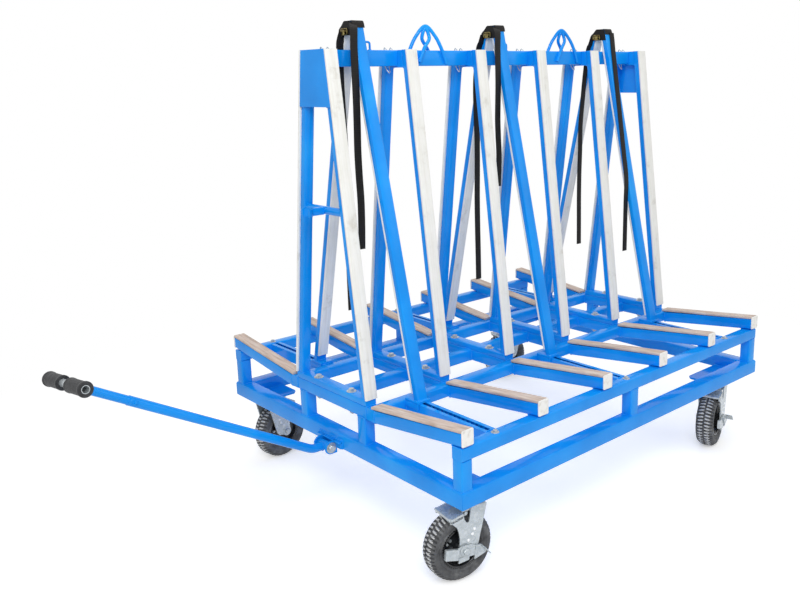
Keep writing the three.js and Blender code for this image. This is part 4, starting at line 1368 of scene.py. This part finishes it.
def fork(m, corner):
    """A pressed fork: two notched legs under a crown that slopes and rolls down behind."""
    wheels = settings().wheels
    _, centre, axle, ahead = castor_lines(corner)
    leg = wheels.leg
    outside = wheels.gap / 2 + leg
    inside = wheels.gap / 2
    hub = 0.018
    back, back_top = -0.045, 0.2135
    break_at, break_top = -0.003, 0.2215
    lip_drop, lip_inset, crown_front = 0.005, 0.002, 0.074

    def spot(a, z, out):
        return Vector((centre.x, centre.y, z)) + ahead * a + axle * out

    # A leg's outline as distance ahead of the axle and height: hub, back edge, notch and front edge
    outline = [(hub * math.cos(a), wheels.radius + hub * math.sin(a)) for a in degrees(-40, -180, -20)]
    outline += [(-0.0165, 0.128), (-0.0155, 0.142), (-0.0175, 0.158), (-0.024, 0.180), (-0.036, 0.192),
                (back, 0.200), (back, back_top - 0.003)]
    outline += [(break_at, break_top - 0.003), (0.0005, 0.200), (0.006, 0.190), (0.012, 0.186),
                (0.016, 0.190), (0.019, 0.203), (0.022, 0.226), (0.028, 0.233)]
    outline += [(0.073, 0.2335), (0.0770, 0.230), (0.046, 0.112), (0.036, 0.099)]
    bm = bmesh.new()
    for way in BOTH:
        prism(bm, [spot(a, z, way * inside) for a, z in outline], axle * way * leg)
    bend, skirt = 0.010, 0.018
    flange = [(outside, -skirt), (outside, -bend)]
    flange += [(outside - bend + bend * math.cos(a), -bend + bend * math.sin(a)) for a in degrees(30, 90, 30)]
    channel = flange + [(-y, z) for y, z in reversed(flange)]
    channel += [(-inside, -skirt), (-inside, -leg), (inside, -leg), (inside, -skirt)]
    sweep(bm, channel, spot(back, back_top, 0), spot(break_at, break_top, 0), axle, UP, ahead, ahead)
    web = rounded_section(2 * (inside + LAP), leg, THIN_CORNER, 1)
    web_z = crown_top() - leg / 2
    sweep(bm, web, spot(break_at - LAP, web_z, 0), spot(crown_front, web_z, 0), axle, UP)
    lip = rounded_section(0.011, 0.010, 0.0045, 5)
    ends = [spot(back, back_top - lip_drop, way * (outside - lip_inset)) for way in BOTH]
    sweep(bm, lip, *ends, ahead, UP)
    plated(f"fork_{corner}_sheet", bm, f"castor_{corner}", nodes=[f"castor_fork_{corner}"], bevel=0.001)
    fork_details(m, corner)


def fork_details(m, corner):
    """Axle nuts, the kingpin stack and the rivets on the fork's legs."""
    wheels = settings().wheels
    swivel, centre, axle, ahead = castor_lines(corner)
    face = wheels.gap / 2 + wheels.leg
    axle_radius, nut, nut_height = 0.0078, 0.019, 0.008
    kingpin, kingpin_height = 0.022, 0.003
    pedal_room = 0.0048 if corner in BRAKED else 0.0
    rivet = [(0.0052, 0.0), (0.0048, 0.0020), (0.0034, 0.0034), (0.0012, 0.0040)]
    rivet_places, rivet_sunk = ((0.033, 0.057), (0.026, 0.043), (0.012, 0.027)), 0.0006
    bm = bmesh.new()
    rivets = bmesh.new()
    for way in BOTH:
        room = pedal_room if way < 0 else 0.0
        shank = [(axle_radius, -LAP), (axle_radius, room + LAP)]
        turned(bm, shank, centre + axle * way * face, axle * way, 24, ring=False)
        hex_head(bm, centre + axle * way * (face + room), axle * way, nut, nut_height)
        for a, up in rivet_places:
            seat = centre + ahead * a + UP * up + axle * way * (face - rivet_sunk)
            turned(rivets, rivet, seat, axle * way, 16, ring=False)
    base = Vector((swivel.x, swivel.y, crown_top()))
    plate_room = 0.0068
    gap = m.rail_low - plate_room - crown_top()
    raceway = [(0.037, -LAP / gap), (0.037, 0.22), (0.034, 0.30), (0.032, 0.45), (0.036, 0.55),
               (0.0375, 0.7), (0.0375, 0.92), (0.034, 1.0)]
    turned(bm, [(radius, gap * share) for radius, share in raceway], base, UP, 48, ring=False)
    hex_head(bm, base - UP * wheels.leg, -UP, kingpin, kingpin_height)
    bolt_ahead, bolt_in, bolt, bolt_height = 0.008, 0.012, 0.011, 0.006
    bolt_up = crown_top() - wheels.radius - bolt_in
    seat = centre + ahead * bolt_ahead + UP * bolt_up - axle * (face - bolt_in)
    hex_head(bm, seat, -axle, bolt, bolt_height)
    plated(f"fork_{corner}_swivel", bm, f"castor_{corner}")
    # The rivets' nearly white material is a painted highlight
    piece(f"fork_{corner}_rivets", rivets, painted_highlight_rivet, f"castor_{corner}", slot="zinc", angle=60)


def swivel_head(m, corner):
    """The castor's top plate, bolted under the corner plate."""
    swivel = castor_lines(corner)[0]
    gap, thick, half, corner_radius = 0.0002, 0.006, 0.048, 0.012
    bolt_out, bolt, bolt_height = 0.039, 0.013, 0.006
    section = rounded_section(2 * half, 2 * half, corner_radius, steps=5)
    low = Vector((swivel.x, swivel.y, m.rail_low - gap - thick))
    bm = bmesh.new()
    sweep(bm, section, low, low + UP * thick, ALONG, OUTWARD)
    for a in BOTH:
        for b in BOTH:
            hex_head(bm, low + Vector((a * bolt_out, b * bolt_out, 0)), -UP, bolt, bolt_height)
    plated(f"castor_{corner}_top_plate", bm, bevel=FINE_EDGE)


def brake_pedal(corner):
    """The stamped pedal on the axle's outer end: a raised heel, a skirt and a tongue with a bent lip."""
    wheels = settings().wheels
    _, centre, axle, ahead = castor_lines(corner)
    face = wheels.gap / 2 + wheels.leg + settings().padding.seat
    # Outlines as distance ahead of the axle and height over it
    middle = [(-0.030, -0.020), (0.034, -0.024), (0.040, 0.004), (0.020, 0.014), (-0.012, 0.017),
              (-0.030, 0.012)]
    heel = [(-0.070, -0.008), (-0.028, -0.020), (-0.024, 0.013), (-0.067, 0.024)]
    skirt = [(-0.025, -0.033), (0.010, -0.031), (0.013, -0.016), (-0.023, -0.016)]
    tongue = [(0.028, -0.036), (0.066, -0.025), (0.071, -0.018), (0.053, 0.005), (0.034, 0.006)]
    lip = [(0.053, 0.005), (0.071, -0.018), (0.0685, -0.020), (0.0505, 0.003)]
    bm = bmesh.new()
    for outline, thick in ((middle, 0.004), (heel, 0.010), (skirt, 0.006), (tongue, 0.006), (lip, 0.029)):
        prism(bm, [centre + ahead * a + UP * up - axle * face for a, up in outline], -axle * thick)
    plated(f"brake_pedal_{corner}_plate", bm, f"brake_{corner}", nodes=[f"brake_pedal_{corner}"],
           bevel=0.0011)


# Tow bar

def dress_tow_bar(m):
    """The hitch, the tow bar and its grips."""
    pivot = Vector(joint_called("tow_bar_lift")["pos_m"])
    front, back = middle_of("grip_front"), middle_of("grip_back")
    handle = (front + back) / 2
    across = (back - front).normalized()
    hitch(m, pivot)
    bar(pivot, handle, across)
    for name, side in SIDES:
        grip(name, handle, across * side)


def hitch(m, pivot):
    """A plate on the near end rail with two ears and a strip over them, and the bolt across."""
    low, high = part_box("hitch_bracket")
    gap = settings().padding.seat
    face = m.mid - m.half_length - gap
    thick, ear, nose, strip = 0.006, 0.006, 0.022, 0.005
    eye_room, strip_short, plate_corner = 0.0008, 0.010, 0.004
    inner = settings().tow.barrel / 2 + eye_room
    wide = high.y - low.y
    plate_low = m.rail_low + LAP
    middle = Vector((face, 0, (plate_low + high.z) / 2))
    bm = bmesh.new()
    plate = rounded_section(wide, high.z - plate_low, plate_corner)
    sweep(bm, plate, middle - ALONG * thick, middle, OUTWARD, UP)
    outline = [(face - LAP, pivot.z - nose), (face - LAP, pivot.z + nose)]
    outline += [(pivot.x + nose * math.cos(a), pivot.z + nose * math.sin(a)) for a in degrees(90, 270, 15)]
    for side in BOTH:
        prism(bm, [Vector((x, side * inner, z)) for x, z in outline], OUTWARD * side * ear)
        for y in (side * inner, side * (inner + ear)):
            bead(bm, [Vector((face - thick, y, z)) for z in (plate_low, pivot.z + nose)])
    over = Vector((face, 0, pivot.z + nose - strip / 2))
    reach = face - pivot.x - strip_short
    sweep(bm, rounded_section(wide, strip, THIN_CORNER), over, over - ALONG * reach, OUTWARD, UP)
    bead(bm, [Vector((face, y, high.z)) for y in (low.y, high.y)])
    for y in (low.y, high.y):
        bead(bm, [Vector((face, y, z)) for z in (plate_low, high.z)])
    painted("hitch_plate", bm, "hitch_bracket", bevel=0.001)
    shank, head, head_height = 0.0068, 0.019, 0.0055
    out = inner + ear + gap
    bm = bmesh.new()
    turned(bm, [(shank, -out), (shank, out)], pivot, OUTWARD, 24, ring=False)
    for side in BOTH:
        hex_head(bm, pivot + OUTWARD * side * out, OUTWARD * side, head, head_height)
    plated("hitch_bolt", bm, nodes=["hitch_pin"])


def bar(pivot, handle, across):
    """The bent tow tube with its eye, the inner tube with a spring button, and the cross handle."""
    tow = settings().tow
    bend = pivot - ALONG * tow.neck
    along = (handle - bend).normalized()
    end = bend + along * tow.tube_length
    eye_bore, eye_edge, eye, eye_bevel = 0.0078, 0.0145, 0.0150, 0.0008
    into_eye, run, button_back = 0.011, 0.021, 0.016
    start = bend + ALONG * run * 2 / 3
    path = [pivot - ALONG * into_eye, start]
    path += [start.lerp(bend, t).lerp(bend.lerp(bend + along * run, t), t) for t in (0.2, 0.4, 0.6, 0.8)]
    path += [bend + along * run] + [bend + along * tow.tube_length * t for t in (0.25, 0.5, 0.75, 1.0)]
    bm = bmesh.new()
    rod(bm, path, tow.tube, sides=28)
    mouth = [(tow.inner, -0.002), (tow.tube, -0.002), (tow.tube + 0.0003, 0.0), (tow.tube - 0.0004, 0.0012),
             (tow.inner, 0.0016)]
    turned(bm, mouth, end, along, 28)
    rod(bm, [end - along * tow.tube, end, handle], tow.inner, sides=26)
    half = tow.barrel / 2
    turned(bm, [(eye_bore, -half), (eye_edge, -half), (eye, -half + eye_bevel), (eye, half - eye_bevel),
                (eye_edge, half), (eye_bore, half)], pivot, OUTWARD, 36)
    bead(bm, [pivot - ALONG * eye_edge + (OUTWARD * math.cos(a) + UP * math.sin(a)) * tow.tube
              for a in angles(24)], closed=True)
    button = [(0.0085, -0.0005), (0.0085, 0.0006), (0.0055, 0.0012), (0.0050, 0.0034), (0.0030, 0.0042)]
    turned(bm, button, end - along * button_back - across * tow.tube, -across, 22, ring=False)
    piece("tow_tube", bm, blue_powder_coat, "tow_bar", ["tow_bar"])
    wall = 0.0018
    bore, out = tow.handle - wall, tow.handle_half
    bm = bmesh.new()
    turned(bm, [(bore, -out), (tow.handle, -out), (tow.handle, out), (bore, out)], handle, across, 32)
    plated("tow_handle", bm, "tow_bar")


def grip(name, handle, across):
    """A vinyl grip with a low flange at each end, open where the handle's tube shows."""
    tow = settings().tow
    long, body, flange = 0.090, 0.0188, 0.0210
    inner = tow.handle + settings().padding.seat
    ribs, first, last = 12, 0.013, long - 0.015
    rib = [(0.0, 0.0), (0.0005, 0.0014), (0.0005, 0.0034), (0.0, 0.0048)]
    profile = [(inner, 0.0), (flange - 0.002, 0.0), (flange - 0.0006, 0.001), (flange - 0.0006, 0.005),
               (flange - 0.0014, 0.007), (body, 0.010)]
    for number in range(ribs):
        along = first + number * (last - first) / ribs
        profile += [(body + rise, along + step) for rise, step in rib]
    profile += [(body, long - 0.012), (flange - 0.001, long - 0.0075), (flange, long - 0.006),
                (flange, long - 0.002), (flange - 0.0018, long), (inner, long)]
    bm = bmesh.new()
    turned(bm, profile, handle + across * (tow.handle_half - long), across, 40)
    piece(f"grip_{name}_vinyl", bm, black_vinyl_grip, "tow_bar", [f"grip_{name}"], "grip")


# Bolts

def dress_bolts(m):
    """Zinc bolts through the foot tubes, with nuts below, and the stop bolts at the tracks' ends."""
    bolt_y, head, head_height, nut_height = 0.092, 0.017, 0.008, 0.009
    shank, shank_below = 0.005, 0.014
    stop, stop_height = 0.013, 0.006
    for index, x in enumerate(m.frames):
        bm = bmesh.new()
        for side in BOTH:
            under = Vector((x, side * bolt_y, m.tube_low))
            hex_head(bm, Vector((x, side * bolt_y, m.foot_top)), UP, head, head_height)
            turned(bm, [(shank, 0.0), (shank, shank_below)], under, -UP, 16, ring=False)
            hex_head(bm, under, -UP, head, nut_height)
        plated(f"foot_bolts_{index + 1}", bm)
    for name, side in SIDES:
        bm = bmesh.new()
        for x in m.poles:
            hex_head(bm, Vector((x, side * m.side_y, m.tube_top)), UP, stop, stop_height)
        plated(f"track_bolts_{name}", bm)


# Stage

def dress_stage():
    """The camera, the floor and the lights."""
    scene = bpy.context.scene
    scene.view_settings.view_transform = "Standard"
    camera_at_photo(scene)
    floor(scene)
    lights(scene)


def camera_at_photo(scene):
    """The photo's viewpoint, with the lens and framing that fit the straight tubes."""
    azimuth, elevation, roll = (math.radians(a) for a in (42.11, -12.31, -1.149))
    from_middle = Vector((-2.2313, -2.1955, 1.4225))
    level = math.cos(elevation)
    forward = Vector((level * math.sin(azimuth), level * math.cos(azimuth), math.sin(elevation)))
    right = Vector((math.cos(azimuth), -math.sin(azimuth), 0))
    up = right.cross(forward)
    turned_right = right * math.cos(roll) + up * math.sin(roll)
    turned_up = up * math.cos(roll) - right * math.sin(roll)
    data = bpy.data.cameras.new("photo_camera")
    data.sensor_width = 36
    data.lens = 38.37
    data.shift_x = -0.0641
    data.shift_y = -0.0471
    data.clip_end = 50
    camera = bpy.data.objects.new("photo_camera", data)
    scene.collection.objects.link(camera)
    columns = Matrix((turned_right, turned_up, -forward)).transposed().to_4x4()
    camera.matrix_world = Matrix.Translation(ALONG * middle_of("bottom_frame").x + from_middle) @ columns
    scene.camera = camera


def any_ray(tree, *kinds):
    """One for a ray of any of these kinds, else nought."""
    path = node(tree, "ShaderNodeLightPath")
    seen = path.outputs[kinds[0]]
    for kind in kinds[1:]:
        seen = node(tree, MATH, {0: seen, 1: path.outputs[kind]}, operation="MAXIMUM").outputs["Value"]
    return seen


def floor(scene):
    """White ground that keeps the shadow near the cart and fades to plain white farther out."""
    fade_from, fade_to = 1.2, 2.4
    half, below = 9, 0.0005
    made = bpy.data.materials.new("white_studio_floor")
    made.use_nodes = True
    tree = made.node_tree
    tree.nodes.clear()
    white = linear("#ffffff")
    matt = node(tree, "ShaderNodeBsdfDiffuse", {"Color": linear("#f4f4f4")})
    glow = node(tree, "ShaderNodeEmission", {"Color": white, "Strength": 0.42})
    lit = node(tree, "ShaderNodeAddShader", {0: matt.outputs[0], 1: glow.outputs[0]})
    where = node(tree, "ShaderNodeTexCoord")
    away = node(tree, "ShaderNodeVectorMath", {0: where.outputs["Object"]}, operation="LENGTH")
    fade = node(tree, "ShaderNodeMapRange", {"Value": away.outputs["Value"], "From Min": fade_from,
                                             "From Max": fade_to})
    plain = node(tree, "ShaderNodeEmission", {"Color": white, "Strength": 1.0})
    ground = node(tree, "ShaderNodeMixShader", {0: fade.outputs[0], 1: lit.outputs[0], 2: plain.outputs[0]})
    seen = any_ray(tree, "Is Camera Ray", "Is Glossy Ray")
    mixed = node(tree, "ShaderNodeMixShader", {0: seen, 1: matt.outputs[0], 2: ground.outputs[0]})
    node(tree, "ShaderNodeOutputMaterial", {"Surface": mixed.outputs[0]})
    bm = bmesh.new()
    bm.faces.new([bm.verts.new((a * half, b * half, -below)) for a, b in SQUARE])
    mesh = bpy.data.meshes.new("studio_floor")
    bm.to_mesh(mesh)
    bm.free()
    mesh.materials.append(made)
    made_floor = bpy.data.objects.new("studio_floor", mesh)
    made_floor.location.x = middle_of("bottom_frame").x
    scene.collection.objects.link(made_floor)


def lights(scene):
    """A white room that is dimmer as a lamp than as a backdrop, and three softboxes."""
    sky_light, sky_seen = 0.55, 1.0
    world = bpy.data.worlds.new("studio")
    scene.world = world
    world.use_nodes = True
    tree = world.node_tree
    tree.nodes.clear()
    seen = any_ray(tree, "Is Camera Ray", "Is Glossy Ray", "Is Transmission Ray")
    strength = node(tree, "ShaderNodeMapRange", {"Value": seen, "To Min": sky_light, "To Max": sky_seen})
    sky = node(tree, "ShaderNodeBackground", {"Color": linear("#ffffff"), "Strength": strength.outputs[0]})
    node(tree, "ShaderNodeOutputWorld", {"Surface": sky.outputs[0]})
    middle = middle_of("bottom_frame")
    target_height = 0.75
    target = Vector((middle.x, 0, target_height))
    # Each softbox: its place from the middle of the base, its side in metres and its power in watts
    softboxes = (("key_softbox", (-2.6, -2.6, 2.9), 1.8, 74), ("fill_softbox", (2.2, -3.2, 2.2), 2.0, 10),
                 ("top_softbox", (0.3, 0.2, 4.2), 2.6, 35))
    for name, place, size, power in softboxes:
        data = bpy.data.lights.new(name, "AREA")
        data.shape = "SQUARE"
        data.size = size
        data.energy = power
        lamp = bpy.data.objects.new(name, data)
        scene.collection.objects.link(lamp)
        lamp.location = middle + Vector(place)
        lamp.rotation_euler = (target - lamp.location).to_track_quat("-Z", "Y").to_euler()


# Operators and panel

class CART_OT_stage(bpy.types.Operator):
    """Sets the camera, the floor and the lights"""

    bl_idname = "cart.stage"
    bl_label = "Stage"
    bl_options = {"REGISTER", "UNDO"}

    def execute(self, context):
        dress_stage()
        return {"FINISHED"}


class CART_OT_base(bpy.types.Operator):
    """Builds the welded base: bottom frame, side frames, end trestles, spine, arms and tracks"""

    bl_idname = "cart.base"
    bl_label = "Base"
    bl_options = {"REGISTER", "UNDO"}

    def execute(self, context):
        m = measures()
        dress_bottom_frame(m)
        dress_side_frames(m)
        dress_end_trestles(m)
        dress_deck_spine(m)
        dress_track_frames(m)
        return {"FINISHED"}


class CART_OT_a_frames(bpy.types.Operator):
    """Builds the leaning A-frames with their gussets and the handle cradle"""

    bl_idname = "cart.a_frames"
    bl_label = "A-frames"
    bl_options = {"REGISTER", "UNDO"}

    def execute(self, context):
        dress_a_frames(measures())
        return {"FINISHED"}


class CART_OT_pads(bpy.types.Operator):
    """Builds the lean pads, the arm strips and the end caps"""

    bl_idname = "cart.pads"
    bl_label = "Pads"
    bl_options = {"REGISTER", "UNDO"}

    def execute(self, context):
        dress_pads(measures())
        return {"FINISHED"}


class CART_OT_top_rail(bpy.types.Operator):
    """Builds the top rail with its lifting crowns, tie loops and lock pins"""

    bl_idname = "cart.top_rail"
    bl_label = "Top rail"
    bl_options = {"REGISTER", "UNDO"}

    def execute(self, context):
        dress_top_rail(measures())
        return {"FINISHED"}


class CART_OT_poles(bpy.types.Operator):
    """Builds the sliding clamp poles with their pads and shoes"""

    bl_idname = "cart.poles"
    bl_label = "Clamp poles"
    bl_options = {"REGISTER", "UNDO"}

    def execute(self, context):
        dress_poles(measures())
        return {"FINISHED"}


class CART_OT_straps(bpy.types.Operator):
    """Builds the webbing straps and their buckles"""

    bl_idname = "cart.straps"
    bl_label = "Straps"
    bl_options = {"REGISTER", "UNDO"}

    def execute(self, context):
        dress_straps(measures())
        return {"FINISHED"}


class CART_OT_castors(bpy.types.Operator):
    """Builds the castors: tyres, wheel centres, forks, top plates and brake pedals"""

    bl_idname = "cart.castors"
    bl_label = "Castors"
    bl_options = {"REGISTER", "UNDO"}

    def execute(self, context):
        dress_castors(measures())
        return {"FINISHED"}


class CART_OT_tow_bar(bpy.types.Operator):
    """Builds the tow bar with its hitch, bolt, cross handle and grips"""

    bl_idname = "cart.tow_bar"
    bl_label = "Tow bar"
    bl_options = {"REGISTER", "UNDO"}

    def execute(self, context):
        dress_tow_bar(measures())
        return {"FINISHED"}


class CART_OT_bolts(bpy.types.Operator):
    """Builds the bolts of the foot tubes and tracks"""

    bl_idname = "cart.bolts"
    bl_label = "Bolts"
    bl_options = {"REGISTER", "UNDO"}

    def execute(self, context):
        dress_bolts(measures())
        return {"FINISHED"}


class CART_PT_panel(bpy.types.Panel):
    """Lists the cart's operators"""

    bl_idname = "CART_PT_panel"
    bl_label = "Sheet Goods Cart"
    bl_space_type = "VIEW_3D"
    bl_region_type = "UI"
    bl_category = "Cart"

    def draw(self, context):
        for operator in OPERATORS:
            self.layout.operator(operator.bl_idname)


OPERATORS = (CART_OT_stage, CART_OT_base, CART_OT_a_frames, CART_OT_pads, CART_OT_top_rail, CART_OT_poles,
             CART_OT_straps, CART_OT_castors, CART_OT_tow_bar, CART_OT_bolts)
GROUPS = (CartTubing, CartPadding, CartWheels, CartTow, CartColours, CartSettings)
CLASSES = GROUPS + OPERATORS + (CART_PT_panel,)


def register():
    for each in CLASSES:
        bpy.utils.register_class(each)
    bpy.types.Scene.sheet_cart = PointerProperty(type=CartSettings)


def unregister():
    del bpy.types.Scene.sheet_cart
    for each in reversed(CLASSES):
        bpy.utils.unregister_class(each)


def main():
    register()
    bpy.ops.cart.stage()
    bpy.ops.cart.base()
    bpy.ops.cart.a_frames()
    bpy.ops.cart.pads()
    bpy.ops.cart.top_rail()
    bpy.ops.cart.poles()
    bpy.ops.cart.straps()
    bpy.ops.cart.castors()
    bpy.ops.cart.tow_bar()
    bpy.ops.cart.bolts()


if __name__ == "__main__":
    main()
